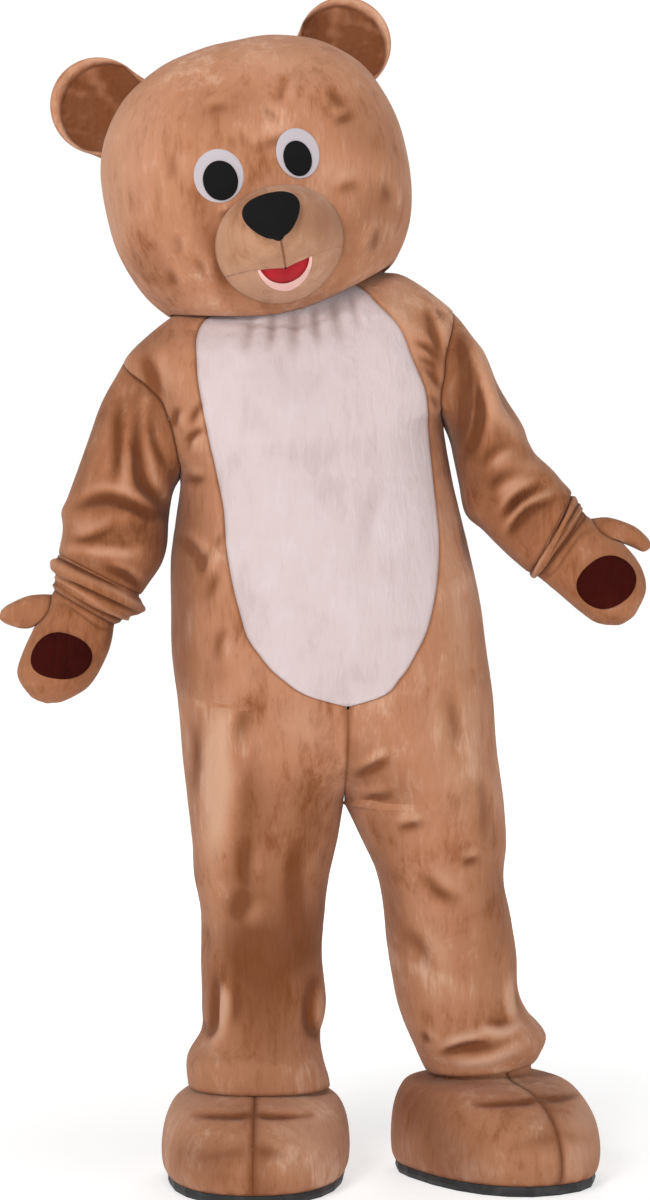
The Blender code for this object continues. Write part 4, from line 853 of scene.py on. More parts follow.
def draw_in(points, closed):
    """Take half a seam's gap off every free edge of a grid."""
    moves = np.zeros_like(points)

    def pull(edge, beside):
        step = points[beside] - points[edge]
        moves[edge] += step / np.maximum(np.linalg.norm(step, axis=-1, keepdims=True), 1e-9) * SEAM / 2

    pull(np.s_[0, :], np.s_[1, :])
    pull(np.s_[-1, :], np.s_[-2, :])
    if not closed:
        pull(np.s_[:, 0], np.s_[:, 1])
        pull(np.s_[:, -1], np.s_[:, -2])
    return points + moves


def declare_sheet(outer, closed=False):
    width, length, area = cut_of(outer, closed)


def cloth(node, skin, u, v, look="tan", wall=PLUSH, closed=False, creases=None,
          middle_y=0.0, skip=(), drops=None, extra=0.0, fade=1.0, tone=0.0):
    """A piece of plush on a skin, with its creases, seams and unevenness."""
    base, normal = skin.points(u, v), skin.normals(u, v)
    relief = (crease_depth(base, creases or {}, middle_y) + extra) * fade
    inside = 1 - near_edges(base, closed, EVEN_EDGE)
    lift = (relief + LUMP * lumps(base, 0.09, 1)) * inside + seams(base, closed, drops, skip)
    outer = draw_in(base + normal * lift[..., None], closed)
    # Painted shade and highlight: darker in troughs and lighter on ridges by the relief, a painted dark line
    # along the seams, and the broad painted shade and highlight of the table
    seam_shade = 0.8 * near_edges(base, closed, SEAM_SHADE, skip)
    shade = np.clip(relief / RELIEF_TONE - seam_shade + shade_and_nap_tone(base, node) + tone, -1, 1)
    made = shell("plush", node, look, outer, outer - normal * wall, shade, closed)
    declare_sheet(outer, closed)


def spread(low, high, columns):
    share = np.linspace(0, 1, columns)[None, :]
    return np.asarray(low)[:, None] * (1 - share) + np.asarray(high)[:, None] * share


def tall(values, columns):
    return np.repeat(np.asarray(values, dtype=float)[:, None], columns, axis=1)


def tummy_quarter(rows, side):
    places, shares = np.array(TUMMY)[:, 0], np.array(TUMMY)[:, 1 if side == "left" else 2]
    slopes = np.gradient(shares, places)
    index = np.clip(np.searchsorted(places, rows, side="right") - 1, 0, len(places) - 2)
    gap = places[index + 1] - places[index]
    t = (rows - places[index]) / gap
    share = ((2 * t**3 - 3 * t**2 + 1) * shares[index] + (t**3 - 2 * t**2 + t) * gap * slopes[index]
             + (3 * t**2 - 2 * t**3) * shares[index + 1] + (t**3 - t**2) * gap * slopes[index + 1])
    return np.degrees(np.arccos((1 - np.clip(share, 0, 0.995)) ** (1 / ROUND))) / 90


def build_suit(left, right):
    rows = np.linspace(0, HEM_ROW, HEM_ROW * ROWS_PER_RING + 1)
    levels = tall(rows, SIDE_COLUMNS)
    drops = {
        "low": np.where((rows > SHOULDER_ROW) & (rows < UNDERARM_ROW), HOLE_DROP, 1.0)[:, None],
        "high": 1 - np.exp(-(((rows - 13.2) / 0.9) ** 4))[:, None],
    }
    shin = -0.55 * bell(levels - 17.8, 1.9)
    quarter = hole_quarter(rows, ARMHOLE)
    for side, skin, share in (("left", left, 1.0), ("right", right, 0.35)):
        edge = np.where(rows <= TUMMY_ROW, tummy_quarter(np.minimum(rows, TUMMY_ROW), side), 1.0)
        for node, low, high, tone in (
            ("front_" + side, quarter, edge, share * shin),
            ("back_" + side, -quarter, -np.ones(len(rows)), 0.5 * shin),
        ):
            cloth(node, skin, spread(low, high, SIDE_COLUMNS), levels, creases=BODY_CREASES, skip=("start",),
                  drops=drops, tone=tone)
    rows = rows[rows <= TUMMY_ROW]
    across = spread(tummy_quarter(rows, "left"), 2 - tummy_quarter(rows, "right"), TUMMY_COLUMNS)
    cloth("tummy", centre_skin(left, right, 1), across, tall(rows, TUMMY_COLUMNS), "off_white",
          creases=BODY_CREASES, skip=("start",))


def build_sleeve(side, rows, body):
    sleeve = limb_skin(rows, [hole_edge(body, ARMHOLE)], SLEEVE_FOLDS)
    u, v = np.meshgrid(TURNS, np.linspace(0, len(rows), 12 * len(rows) + 1))
    cloth("sleeve_" + side, sleeve, u, v, "shaded_tan", closed=True, creases=SLEEVE_CREASES, middle_y=-0.02,
          fade=unit(v / 0.5), drops={"start": HOLE_DROP})
    return sleeve


def build_cuff(side, rows, sleeve, sleeve_rows):
    """The gathered band starts inside the sleeve end, against its wall."""
    def inside_sleeve(row, clearance):
        def loop(turn):
            at = np.full(turn.shape, row)
            return sleeve.points(turn, at) - sleeve.normals(turn, at) * (PLUSH + clearance)

        return loop

    roots = [inside_sleeve(sleeve_rows - 0.5, 2 * CLEAR), inside_sleeve(sleeve_rows, 3 * CLEAR)]
    last = len(rows) + 1
    u, v = np.meshgrid(TURNS, np.linspace(0, last, 49))
    place = v / last
    gathers = np.zeros(u.shape)
    for middle, depth, slant in CUFF_RINGS[side]:
        wave = slant * np.sin(2 * np.pi * u + 7 * middle) + 0.02 * np.sin(6 * np.pi * u + 11 * middle)
        strength = 0.65 + 0.35 * np.sin(2 * np.pi * u * 2 + 19 * middle)
        gathers += depth * MM * strength * bell(place - middle - wave, GATHER_WIDTH)
    fade = unit((place - 0.2) / 0.08) * unit((1 - place) / 0.05)
    cloth("cuff_" + side, limb_skin(rows, roots), u, v, "shaded_tan", closed=True,
          extra=gathers, fade=fade, skip=("start",), drops={"end": WRIST_DROP})


def build_mitt(side, rows, thumb_rows):
    skin = mitt_skin(rows)
    middle, reach, _ = THUMB_HOLE
    hole = middle - reach * np.cos(np.radians(np.linspace(0, 180, 25)))
    levels = np.concatenate((np.linspace(0, hole[0], 4)[:-1], hole, np.linspace(hole[-1], MITT_END, 60)[1:]))
    edge, ends = hole_quarter(levels, THUMB_HOLE), np.ones(len(levels))
    v = tall(levels, MITT_COLUMNS)
    across = spread(-ends, ends, MITT_COLUMNS)
    bend = -3 * MM * bell(v - 2.2 - 0.2 * across, 0.14) * bell(across, 0.5)
    wrist = -2 * MM * bell(v - 0.32 - 0.1 * np.sin(5 * across), 0.07) * (1 - across**2)
    beside_hole = (levels > hole[0]) & (levels < hole[-1])
    drops = {"low": np.where(beside_hole, HOLE_DROP, 1.0)[:, None], "start": WRIST_DROP}
    for node, face, extra in (("palm_", 1, wrist), ("hand_back_", -1, bend + wrist)):
        cloth(node + side, skin, spread(face * edge, face * ends, MITT_COLUMNS), v, "shaded_tan", extra=extra,
              drops=drops)

    thumb = limb_skin(thumb_rows, [hole_edge(skin, THUMB_HOLE)], probe_row=1)
    u, v = np.meshgrid(np.linspace(0, 1, 56, endpoint=False), np.linspace(0, THUMB_END, 41))
    cloth("thumb_" + side, thumb, u, v, "shaded_tan", closed=True, skip=("end",), drops={"start": HOLE_DROP})

    angle = np.linspace(0, 2 * np.pi, 72, endpoint=False)[None, :]
    reach = np.array(PAD_REACH)[:, None]
    height = 1.2 * MM + 2.6 * MM * unit((1 - reach) / 0.12) ** 0.5 + 0 * angle
    centre_quarter, centre_row, half_quarter, half_row = PAD
    u = centre_quarter + half_quarter * reach * np.cos(angle)
    v = centre_row + half_row * reach * np.sin(angle)
    base, normal = skin.points(u, v), skin.normals(u, v)
    outer = base + normal * height[..., None]
    made = shell("plush", "pad_" + side, "maroon", outer, base + normal * 0.5 * MM, closed=True, capped=True)


def build_shoe(side, place, leg):
    skin = shoe_skin(place, leg, side == "right")
    levels = np.concatenate((np.linspace(0, 2, 17)[:-1], np.linspace(2, 8, 60)))
    levels = np.sort(np.append(np.round(levels, 6), 7.95))
    halves = ("outer", "inner") if side == "left" else ("inner", "outer")
    for half, low in zip(halves, (-1.0, 0.0)):
        u, v = np.meshgrid(np.linspace(low, low + 1, SHOE_SIDE_COLUMNS), levels)
        away = np.abs(u)
        relief = 0.9 * MM * np.exp(-((8 - v) / 0.4)) * np.sin(90 * u + 3 * np.sin(17 * u))
        for depth, row, slant, width, reach, ease in SHOE_CREASES:
            fade = unit(1 - away / reach) ** ease * unit(away / 0.03)
            relief += depth * MM * bell(v - row - slant * away, width) * fade
        # Painted shade darker towards the sole, and a painted dark line along the middle seam at the toe
        tone = -0.35 * unit((v - 6.2) / 1.8) - 0.5 * bell(away, 0.012)
        cloth("shoe_" + side + "_" + half, skin, u, v, wall=SHOE_WALL, extra=relief, skip=("start",),
              tone=tone)


def build_head():
    skin = head_skin()
    levels = 1 - (1 - np.linspace(0, 1, 121)) ** 1.15
    levels[-1] = 0.9997
    for node, low in (("head_front", -0.5), ("head_back", 0.5)):
        u, v = np.meshgrid(np.linspace(low, low + 1, 141), levels)
        cloth(node, skin, u, v, wall=HEAD_WALL, creases=HEAD_CREASES, skip=("end",))


EARS = (
    {"side": "left", "towards": math.radians(140), "middle": 0.287, "radius": 0.079, "seat": 0.5 * MM},
    {"side": "right", "towards": math.radians(43), "middle": 0.272, "radius": 0.077, "seat": 0.3 * MM},
)
EAR_SPAN = math.radians(17)
EAR_SWEEP = math.radians(106)
EAR_BACK = 0.026
EAR_DISH = 0.020
EAR_WALL = 4 * MM
# The flap tucked in where a rim meets the head: height, place across, width, place up, fade
EAR_TUCKS = ((7, 0.78, 0.13, 0.0, 0.55), (-2, 0.50, 0.10, 0.1, 0.6))


def head_reach(angle, y):
    """Distance of the head's surface from its middle in the direction angle, at depth y."""
    height = np.where(np.sin(angle) > 0, HEAD_UP, HEAD_DOWN)
    rest = 1 - np.abs(y / np.where(y < 0, HEAD_FRONT, HEAD_BACK)) ** HEAD_POWER
    size = np.abs(np.cos(angle) / HEAD_HALF) ** HEAD_POWER + np.abs(np.sin(angle) / height) ** HEAD_POWER
    return (rest / size) ** (1 / HEAD_POWER)


def build_ear(ear):
    """A cup that stands on the head, with a rolled rim."""
    across = np.linspace(1, -1, 181)[None, :]
    up = np.linspace(0, 1, 61)[:, None]
    towards = ear["towards"]
    top_side = -1 if ear["side"] == "left" else 1

    def ray(angle):
        return joined(np.cos(angle), np.sin(angle))

    rim = ear["middle"] * ray(towards) + ear["radius"] * ray(towards + across * EAR_SWEEP)
    base_angle = towards + across * EAR_SPAN

    def sheet(bulge):
        base = (head_reach(base_angle, bulge(across, 0 * across)) + ear["seat"])[..., None] * ray(base_angle)
        flat = base * (1 - up)[..., None] + rim * up[..., None]
        return from_head(joined(flat[..., 0], bulge(across, up) + 0 * across * up, flat[..., 1]))

    def hollow(a, u):
        return (1 - a**4) * np.sin(np.pi * unit(0.25 + 0.75 * u))

    def rim_share(a, u):
        return unit(np.minimum((1 - u) / 0.2, (1 - np.abs(a)) / 0.14))

    def roll(a, u):
        tuck = 0.0
        for height, spot, width, low, fade in EAR_TUCKS:
            beside = bell(a * top_side - spot, width)
            tuck = tuck + height * MM * beside * bell(u - low, fade)
        return 9 * MM * np.sin(np.pi * rim_share(a, u)) ** 0.6 + tuck * unit(u / 0.05)

    def back(a, u):
        return EAR_BACK * hollow(a, u) + 0.006 - 3 * MM * unit((u - 0.94) / 0.06) ** 2

    def dish(a, u):
        return EAR_DISH * hollow(a, u) - 0.002

    for part, outside, inside, face in (
        ("outer", back, lambda a, u: back(a, u) - EAR_WALL * 0.8, 1),
        ("inner", lambda a, u: dish(a, u) - EAR_WALL - roll(a, u), dish, -1),
    ):
        outer = sheet(outside)
        lift = LUMP * lumps(outer, 0.05, 5) + 0.7 * MM * lumps(outer, 0.011, 8)
        lift = lift * (1 - near_edges(outer, False, 0.006))
        normal = np.array(HEAD_TURN) @ np.array((0.0, face, 0.0))
        outer = draw_in(outer + normal * lift[..., None], False)
        # Painted shade darker towards the base, weaker on the outer side, with random mottling; inside, a
        # painted highlight on the rolled rim, painted shade just within it and along the tuck's trough, and
        # a painted highlight band across the bowl
        shade = -0.2 - 0.55 * (1 - up) ** 0.8 + 0.25 * lumps(outer, 0.02, 9)
        if face < 0:
            rolled = rim_share(across, up)
            shade += 0.8 * np.sin(np.pi * rolled) - 0.6 * bell(rolled - 0.95, 0.2)
            shade -= 0.5 * bell(across * top_side - 0.5, 0.06) * (1 - up)
            shade += 0.5 * bell(across * top_side - 0.15 - 0.3 * up, 0.12) * (rolled > 0.99)
        else:
            shade *= 0.4
        node = "ear_" + ear["side"] + "_" + part
        made = shell("plush", node, "tan", outer, sheet(inside), np.clip(shade, -1, 1))
        declare_sheet(outer)


def build_muzzle():
    """Foam-filled lobes and chin on the face, with the felt mouth and lip let in between."""
    forward = np.array(HEAD_TURN) @ np.array((0.0, -1.0, 0.0))
    left_corner, right_corner = math.pi - SMILE, SMILE + 2 * math.pi

    def piece(node, look, angles, near, far, steps, sink=0.0, depth=None, seam=()):
        share = np.linspace(0, 1, steps)[:, None]
        distance = near(angles)[None, :] * (1 - share) + far(angles)[None, :] * share
        x = MOUTH[0] + distance * np.cos(angles)[None, :]
        z = MOUTH[1] + distance * np.sin(angles)[None, :]
        base = from_head(joined(x, head_front_y(x, z), z))
        top = np.maximum(muzzle_rise(x, z) - sink, MUZZLE_EDGE)
        bottom = np.full(top.shape, CLEAR) if depth is None else top - depth
        outer = base + forward * top[..., None]
        shade = np.zeros(top.shape)
        if seam:
            # Painted shade: a thin dark line along the rim and the philtrum and a broader shade within the
            # rim, both strongest towards the bottom, with the broad painted shade and highlight of the table
            lower = np.clip((MUZZLE_Z + 0.055 - z) / 0.05, 0.12, 1)
            drop = seams(outer, False, skip=("start",) + seam) * 0.7 * lower
            shade = shade_and_nap_tone(base, node) - lower * near_edges(outer, False, 2.2 * MM, ("start",) + seam)
            shade -= 0.35 * lower * near_edges(outer, False, 10 * MM, ("start", "low", "high"))
            outer = outer + forward * drop[..., None]
        inner = base + forward * bottom[..., None]
        return shell("soft", node, look, draw_in(outer, False), draw_in(inner, False), shade)

    def near_mouth(angles):
        return np.full(angles.shape, 1.5 * MM)

    def smile(half, drop):
        def reach(angles):
            share = (angles - left_corner) / (right_corner - left_corner)
            return half + (drop - half) * np.sin(np.pi * share)

        return reach

    for node, low, high, blind in (
        ("muzzle_right", SMILE, math.pi / 2, "low"),
        ("muzzle_left", math.pi / 2, left_corner, "high"),
    ):
        lobe = piece(node, "pale_tan", np.linspace(low, high, 61), near_mouth, muzzle_rim, 61,
                     seam=(blind,))
    angles = np.linspace(left_corner, right_corner, 81)
    red_edge, lip_edge = smile(MOUTH_HALF, MOUTH_DROP), smile(LIP_HALF, LIP_DROP)
    piece("mouth", "red", angles, near_mouth, red_edge, 15, 4 * MM, 3 * MM)
    piece("lip", "pink", angles, red_edge, lip_edge, 15, -1.5 * MM, 7 * MM)
    chin = piece("muzzle_chin", "pale_tan", angles, lip_edge, muzzle_rim, 41, seam=("low", "high"))


def disc(node, look, skin, centre, half_x, half_z, thick, crown, lift, shape=np.ones_like):
    """A felt piece on a skin: a rounded edge and a crown."""
    angle = np.linspace(0, 2 * np.pi, 96, endpoint=False)
    reach = np.array(DISC_REACH)[:, None]
    x = centre[0] + half_x * reach * (shape(angle) * np.cos(angle))[None, :]
    z = centre[1] + half_z * reach * (shape(angle) * np.sin(angle))[None, :]
    edge = thick * (0.35 + 0.65 * unit((1 - reach) / 0.04) ** 0.5)
    top = edge + crown * (1 - reach**2) + 0 * angle[None, :]
    base, normal = skin.points(x, z), skin.normals(x, z)
    outer = base + normal * (top + lift)[..., None]
    return shell("felt", node, look, outer, base + normal * lift, closed=True, capped=True)


def nose_shape(angle):
    """A rounded triangle, point down."""
    return 1 / (1 + NOSE_CORNERS * np.cos(3 * (angle - math.pi / 2)))


def build_face():
    face = face_skin()
    for side, white_at, white_x, white_z, pupil_at, pupil_x, pupil_z in EYES:
        disc("eye_" + side, "white", face, white_at, white_x, white_z, 1.8 * MM, 0.6 * MM, EYE_LIFT)
        disc("pupil_" + side, "black", face, pupil_at, pupil_x, pupil_z, 1.5 * MM, 2.0 * MM,
             EYE_LIFT + 2.8 * MM)
    nose = disc("nose", "black", muzzle_skin(), NOSE_AT, NOSE_HALF_X, NOSE_HALF_Z, 9.0 * MM, 5.0 * MM,
                NOSE_LIFT, nose_shape)


def build_zip(left, right):
    skin = centre_skin(left, right, -1)
    u, v = np.meshgrid(1.0 + np.array(TAPE_PLACES), np.linspace(*ZIP_ROWS, 127))
    base, normal = skin.points(u, v), skin.normals(u, v)
    outer = base + normal * (np.array(TAPE_HEIGHTS) * MM)[None, :, None]
    made = shell("tape", "back_zip", "tape", outer, base + normal * 0.8 * MM)
    declare_sheet(outer)
    build_teeth(skin)


ZIP_ROWS = (2, 11)
# Cross section of the tape, from edge to edge
TAPE_PLACES = (-0.045, -0.03, -0.0115, -0.010, 0.0, 0.010, 0.0115, 0.03, 0.045)
TAPE_HEIGHTS = (1.6, 2.0, 2.1, 2.5, 2.6, 2.5, 2.1, 2.0, 1.6)
TOOTH_PITCH = 3.2 * MM
TOOTH_LIFT = 3.6 * MM
TOOTH_SHIFT = 1.4 * MM
TOOTH_SIZE = (5.0 * MM, 1.5 * MM, 2.2 * MM)


def boxes_along(name, centres, sides, downs, normals, size):
    """One mesh of small blocks that share a size, each turned to its own place."""
    corners = np.array([(x, y, z) for z in (-0.5, 0.5) for y in (-0.5, 0.5) for x in (-0.5, 0.5)]) * size
    vertices = centres[:, None] + corners @ np.stack((sides, downs, normals), axis=1)
    block = ((0, 2, 3, 1), (4, 5, 7, 6), (0, 1, 5, 4), (2, 6, 7, 3), (0, 4, 6, 2), (1, 3, 7, 5))
    faces = [[corner + 8 * number for corner in face] for number in range(len(centres)) for face in block]
    mesh = bpy.data.meshes.new(name)
    mesh.from_pydata(vertices.reshape(-1, 3).tolist(), [], faces)
    mesh.update()
    return placed(name, mesh)


def build_teeth(skin):
    """Zip teeth in two rows that mesh down the centre line."""
    fine = np.linspace(ZIP_ROWS[0] + 0.05, ZIP_ROWS[1] - 0.05, 800)
    path = skin.points(np.ones(len(fine)), fine)
    length = np.concatenate(((0,), np.cumsum(np.linalg.norm(np.diff(path, axis=0), axis=-1))))
    count = int(length[-1] / TOOTH_PITCH)
    rows = np.interp(np.arange(count) * TOOTH_PITCH, length, fine)
    middle = np.ones(count)
    normal = skin.normals(middle, rows)
    down = skin.points(middle, rows + 0.01) - skin.points(middle, rows - 0.01)
    down /= np.linalg.norm(down, axis=-1, keepdims=True)
    side = np.cross(down, normal)
    offset = np.where(np.arange(count) % 2 == 0, -1, 1)[:, None] * side * TOOTH_SHIFT
    centres = skin.points(middle, rows) + normal * TOOTH_LIFT + offset
    teeth = boxes_along("zip_teeth", centres, side, down, normal, np.array(TOOTH_SIZE))
    teeth.data.materials.append(LOOKS["steel"][0])
    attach(teeth, "root")


def set_inputs(tree, node, inputs):
    """Set each named input to a value, or link it to another node's output."""
    for name, value in inputs.items():
        socket = node.inputs[name]
        if isinstance(value, bpy.types.NodeSocket):
            tree.links.new(value, socket)
        else:
            socket.default_value = (*value, 1.0) if socket.type == "RGBA" else value


def add_node(tree, kind, inputs, output=0, **settings):
    made = tree.nodes.new("ShaderNode" + kind)
    for name, value in settings.items():
        setattr(made, name, value)
    set_inputs(tree, made, inputs)
    return made.outputs[output]


def new_material(name, inputs):
    """A material, its node tree, its shader and the place on the object in metres."""
    material = bpy.data.materials.new(name)
    material.use_nodes = True
    tree = material.node_tree
    shader = tree.nodes["Principled BSDF"]
    set_inputs(tree, shader, inputs)
    return material, tree, shader, add_node(tree, "TexCoord", {}, "Object")


def noise(tree, place, scale, detail=2.0, distortion=0.0, stretch=None):
    if stretch:
        place = add_node(tree, "Mapping", {"Vector": place, "Scale": stretch})
    inputs = {"Vector": place, "Scale": scale, "Detail": detail, "Distortion": distortion}
    return add_node(tree, "TexNoise", inputs, "Fac")


def calculate(tree, operation, one, two):
    return add_node(tree, "Math", {0: one, 1: two}, operation=operation)


def weighted(tree, terms):
    total = None
    for output, weight in terms:
        part = calculate(tree, "MULTIPLY", output, weight)
        total = part if total is None else calculate(tree, "ADD", total, part)
    return total


def ramp(tree, factor, stops):
    made = tree.nodes.new("ShaderNodeValToRGB")
    made.color_ramp.interpolation = "EASE"
    elements = made.color_ramp.elements
    while len(elements) < len(stops):
        elements.new(0.5)
    for element, (position, colour) in zip(elements, stops):
        element.position = position
        element.color = (*colour, 1.0)
    tree.links.new(factor, made.inputs["Fac"])
    return made.outputs["Color"]


def mix(tree, factor, one, two):
    return add_node(tree, "Mix", {"Factor": factor, "A": one, "B": two}, "Result", data_type="RGBA")


def remap(tree, value, low, high, to_low=0.0, to_high=1.0):
    inputs = {"Value": value, "From Min": low, "From Max": high, "To Min": to_low, "To Max": to_high}
    return add_node(tree, "MapRange", inputs, "Result", clamp=True)


def finish_shader(tree, shader, colour, height, distance, strength):
    bumps = add_node(tree, "Bump", {"Distance": distance, "Strength": strength, "Height": height}, "Normal")
    set_inputs(tree, shader, {"Base Color": colour, "Normal": bumps})


def plush(name, dark, middle, light, deep, sheen=(0.95, 0.8, 0.7), sheen_weight=0.2, nap=1.0):
    """Short pile that lies in brushed patches, with small strokes, painted shade in the troughs and painted
    highlight on the ridges.
    """
    material, tree, shader, place = new_material(name, {
        "Roughness": 0.95, "Specular IOR Level": 0.08,
        "Sheen Weight": sheen_weight, "Sheen Roughness": 0.45, "Sheen Tint": sheen,
    })
    broad = noise(tree, place, 4.5, 1.0, 0.3)
    patches = noise(tree, place, 13.0, 2.0, 0.5)
    streaks = noise(tree, place, 1.0, 3.0, 0.6, stretch=(60, 60, 14))
    strokes = noise(tree, place, 1.0, 3.0, 0.6, stretch=(240, 240, 60))
    pile = noise(tree, place, 1100.0, 1.0)
    tone = weighted(tree, ((broad, 0.30), (patches, 0.30), (streaks, 0.26), (strokes, 0.14 * nap)))
    colour = ramp(tree, tone, ((0.33, dark), (0.5 - 0.07 * (1 - nap), middle), (0.67, light)))
    # Painted shade: below 0 the colour mixes toward the trough shade colour; painted highlight: above 0 it
    # mixes toward the light colour
    painted_shade = add_node(tree, "Attribute", {}, "Fac", attribute_name="painted_shade")
    colour = mix(tree, remap(tree, painted_shade, 0.0, -1.0, 0.0, 0.85), colour, deep)
    colour = mix(tree, remap(tree, painted_shade, 0.0, 1.0, 0.0, 0.8), colour, light)
    height = weighted(tree, ((patches, 1.6), (streaks, 0.9), (strokes, 0.35 * nap), (pile, 0.12)))
    finish_shader(tree, shader, colour, height, 4.0 * MM, 0.8)
    return material


def felt(name, colour, grain=0.25, sheen_weight=0.1):
    """Pressed felt: a fine fibre grain and barely uneven colour."""
    material, tree, shader, place = new_material(name, {
        "Roughness": 0.9, "Specular IOR Level": 0.2, "Sheen Weight": sheen_weight,
    })
    fibres = noise(tree, place, 700.0, 3.0, 1.0)
    tone = weighted(tree, ((fibres, 0.6), (noise(tree, place, 30.0), 0.4)))
    darker = tuple(channel * (1 - grain) for channel in colour)
    finish_shader(tree, shader, ramp(tree, tone, ((0.35, darker), (0.65, colour))), fibres, 0.5 * MM, 0.5)
    return material


def rubber(name, colour):
    material, tree, shader, place = new_material(name, {"Roughness": 0.6})
    scuffs = noise(tree, place, 22.0, 4.0, 1.0)
    worn = tuple(channel * 3 + 0.01 for channel in colour)
    grain = noise(tree, place, 400.0, 3.0)
    finish_shader(tree, shader, ramp(tree, scuffs, ((0.45, colour), (0.8, worn))), grain, 0.4 * MM, 0.4)
    return material


def metal(name, colour):
    material, tree, shader, place = new_material(name, {"Roughness": 0.35, "Metallic": 1.0})
    brushed = noise(tree, place, 1.0, stretch=(900, 900, 60))
    darker = tuple(channel * 0.7 for channel in colour)
    finish_shader(tree, shader, ramp(tree, brushed, ((0.3, darker), (0.7, colour))), brushed, 0.1 * MM, 0.3)
    return material


# Materials by look, each with the name of its slot in the record
LOOKS = {
    # The fourth colour of each plush is its painted shade colour, for troughs, seams and broad shaded areas
    "tan": (plush("Tan plush", (0.26, 0.088, 0.032), (0.435, 0.195, 0.105), (0.60, 0.35, 0.235),
                  (0.150, 0.042, 0.012)), "tan_plush"),
    # A darker copy of the tan plush for the sleeves, cuffs and mitts, as painted shade
    "shaded_tan": (plush("Tan plush, painted shade", (0.19, 0.058, 0.018), (0.335, 0.135, 0.064), (0.52, 0.27, 0.165),
                       (0.110, 0.030, 0.009)), "tan_plush"),
    "pale_tan": (plush("Pale tan plush", (0.32, 0.140, 0.068), (0.43, 0.222, 0.130), (0.57, 0.35, 0.24),
                       (0.20, 0.065, 0.022), nap=0.5), "pale_tan_plush"),
    "off_white": (plush("Off-white plush", (0.53, 0.425, 0.415), (0.60, 0.495, 0.490), (0.66, 0.57, 0.575),
                        (0.34, 0.24, 0.22), (1.0, 0.95, 0.95), 0.1, nap=0.6), "off_white_plush"),
    "maroon": (plush("Maroon plush", (0.024, 0.0022, 0.0016), (0.040, 0.0035, 0.0022), (0.060, 0.006, 0.004),
                     (0.012, 0.001, 0.001), (0.5, 0.1, 0.1), 0.02), "maroon_plush"),
    "black": (felt("Black felt", (0.004, 0.0035, 0.004), sheen_weight=0.0), "black_felt"),
    "white": (felt("White felt", (0.47, 0.42, 0.445), grain=0.06, sheen_weight=0.0), "white_felt"),
    "red": (felt("Red felt", (0.42, 0.012, 0.02)), "red_felt"),
    "pink": (felt("Pink felt", (0.80, 0.48, 0.43), grain=0.1), "pink_felt"),
    "tape": (felt("Brown zip tape", (0.16, 0.07, 0.04)), "zip_tape"),
    "sole": (rubber("Black sole", (0.010, 0.009, 0.010)), "black_sole"),
    "steel": (metal("Dark zip metal", (0.30, 0.29, 0.28)), "zip_metal"),
}


def sky_colour(tree):
    """White near the horizon, which the camera sees, and darker overhead."""
    place = add_node(tree, "TexCoord", {}, "Generated")
    height = calculate(tree, "ABSOLUTE", add_node(tree, "SeparateXYZ", {"Vector": place}, "Z"), 0.0)
    return mix(tree, remap(tree, height, 0.24, 0.42), (1.02, 1.02, 1.02), (0.10, 0.10, 0.10))


def floor_paint():
    """Pale near the costume, glowing white far from it so that it meets the sky without a line."""
    material, tree, shader, place = new_material("Pale floor", {
        "Roughness": 0.95, "Specular IOR Level": 0.05, "Base Color": (0.60, 0.60, 0.60),
        "Emission Color": (1.0, 1.0, 1.0),
    })
    far = add_node(tree, "VectorMath", {0: place}, "Value", operation="LENGTH")
    set_inputs(tree, shader, {"Emission Strength": remap(tree, far, 1.4, 3.6, 0.60, 1.0)})
    return material


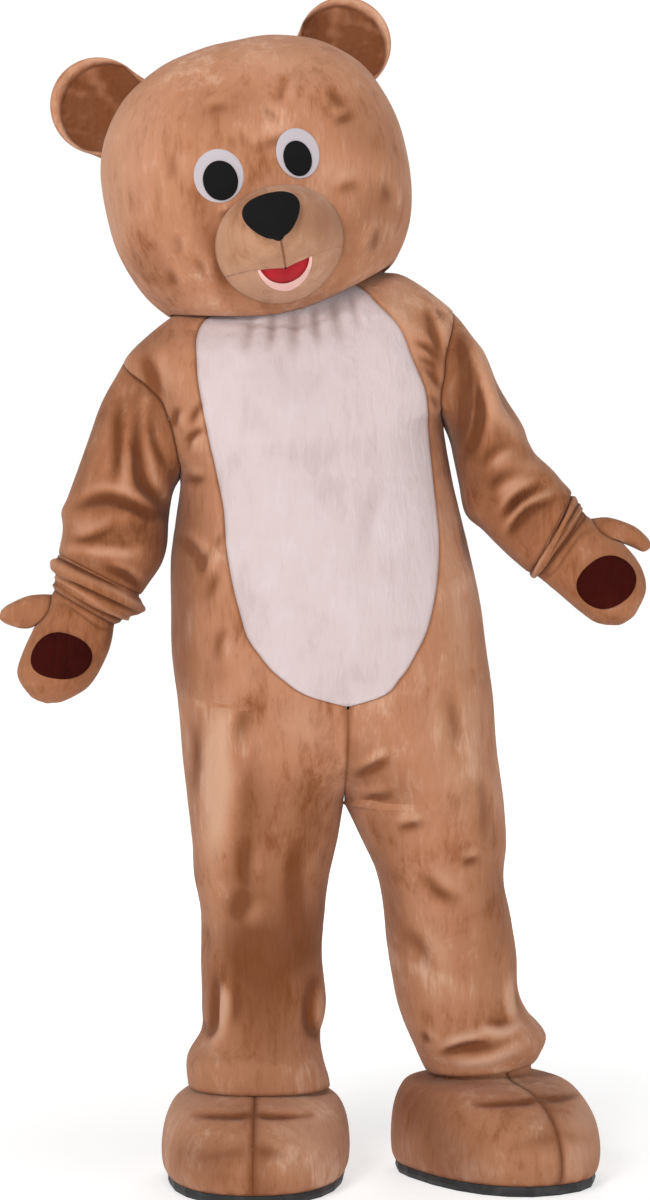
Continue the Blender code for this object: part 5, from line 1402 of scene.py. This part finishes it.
def build_studio():
    corners = [(x, y, FLOOR) for x, y in ((-30, -30), (30, -30), (30, 30), (-30, 30))]
    floor = bpy.data.meshes.new("floor")
    floor.from_pydata(corners, [], [(0, 1, 2, 3)])
    floor.materials.append(floor_paint())
    placed("floor", floor)
    world = bpy.data.worlds.new("Studio")
    world.use_nodes = True
    tree = world.node_tree
    set_inputs(tree, tree.nodes["Background"], {"Color": sky_colour(tree), "Strength": 1.0})
    bpy.context.scene.world = world
    for name, place, size, watts in LAMPS:
        light = bpy.data.lights.new(name, "AREA")
        light.shape = "DISK"
        light.size = size
        light.energy = watts
        lamp = placed(name, light)
        lamp.location = place
        lamp.rotation_euler = (Vector(LAMP_AIM) - Vector(place)).to_track_quat("-Z", "Y").to_euler()


# Lamps: name, place, size, watts
LAMPS = (
    ("key", (-1.5, -4.0, 1.7), 1.2, 92.0),
    ("fill", (2.6, -3.6, 0.2), 2.4, 14.0),
    ("top", (-0.4, -0.9, 3.2), 1.6, 34.0),
    ("back", (1.0, 3.6, 2.0), 2.4, 50.0),
)
LAMP_AIM = (0.06, 0.0, -0.4)
CAMERA_DISTANCE = 4.5
CAMERA_SPOT = (0.061, -CAMERA_DISTANCE, -0.432)
PICTURE_HEIGHT = 1.98


def build_camera():
    lens = bpy.data.cameras.new("camera")
    lens.sensor_fit = "AUTO"
    lens.sensor_width = 36.0
    lens.lens = lens.sensor_width * CAMERA_DISTANCE / PICTURE_HEIGHT
    camera = placed("camera", lens)
    camera.location = CAMERA_SPOT
    camera.rotation_euler = (math.pi / 2, 0.0, 0.0)
    bpy.context.scene.camera = camera


build_camera()
build_studio()
left_skin = side_skin(LEFT_BODY)
right_skin = side_skin(RIGHT_BODY)
build_suit(left_skin, right_skin)
build_zip(left_skin, right_skin)
for name, sleeve_rows, cuff_rows, mitt_rows, thumb_rows, body_skin in (
    ("left", LEFT_SLEEVE, LEFT_CUFF, LEFT_MITT, LEFT_THUMB, left_skin),
    ("right", RIGHT_SLEEVE, RIGHT_CUFF, RIGHT_MITT, RIGHT_THUMB, right_skin),
):
    sleeve_skin = build_sleeve(name, sleeve_rows, body_skin)
    build_cuff(name, cuff_rows, sleeve_skin, len(sleeve_rows))
    build_mitt(name, mitt_rows, thumb_rows)
build_shoe("left", LEFT_SHOE, left_skin)
build_shoe("right", RIGHT_SHOE, right_skin)
build_head()
for ear_place in EARS:
    build_ear(ear_place)
build_muzzle()
build_face()
for cad_node, finish in (("sole_left", "sole"), ("sole_right", "sole"), ("zip_slider", "steel")):
    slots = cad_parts[cad_node].data.materials
    slots.clear()
    slots.append(LOOKS[finish][0])

bpy.context.scene.view_settings.view_transform = "Standard"
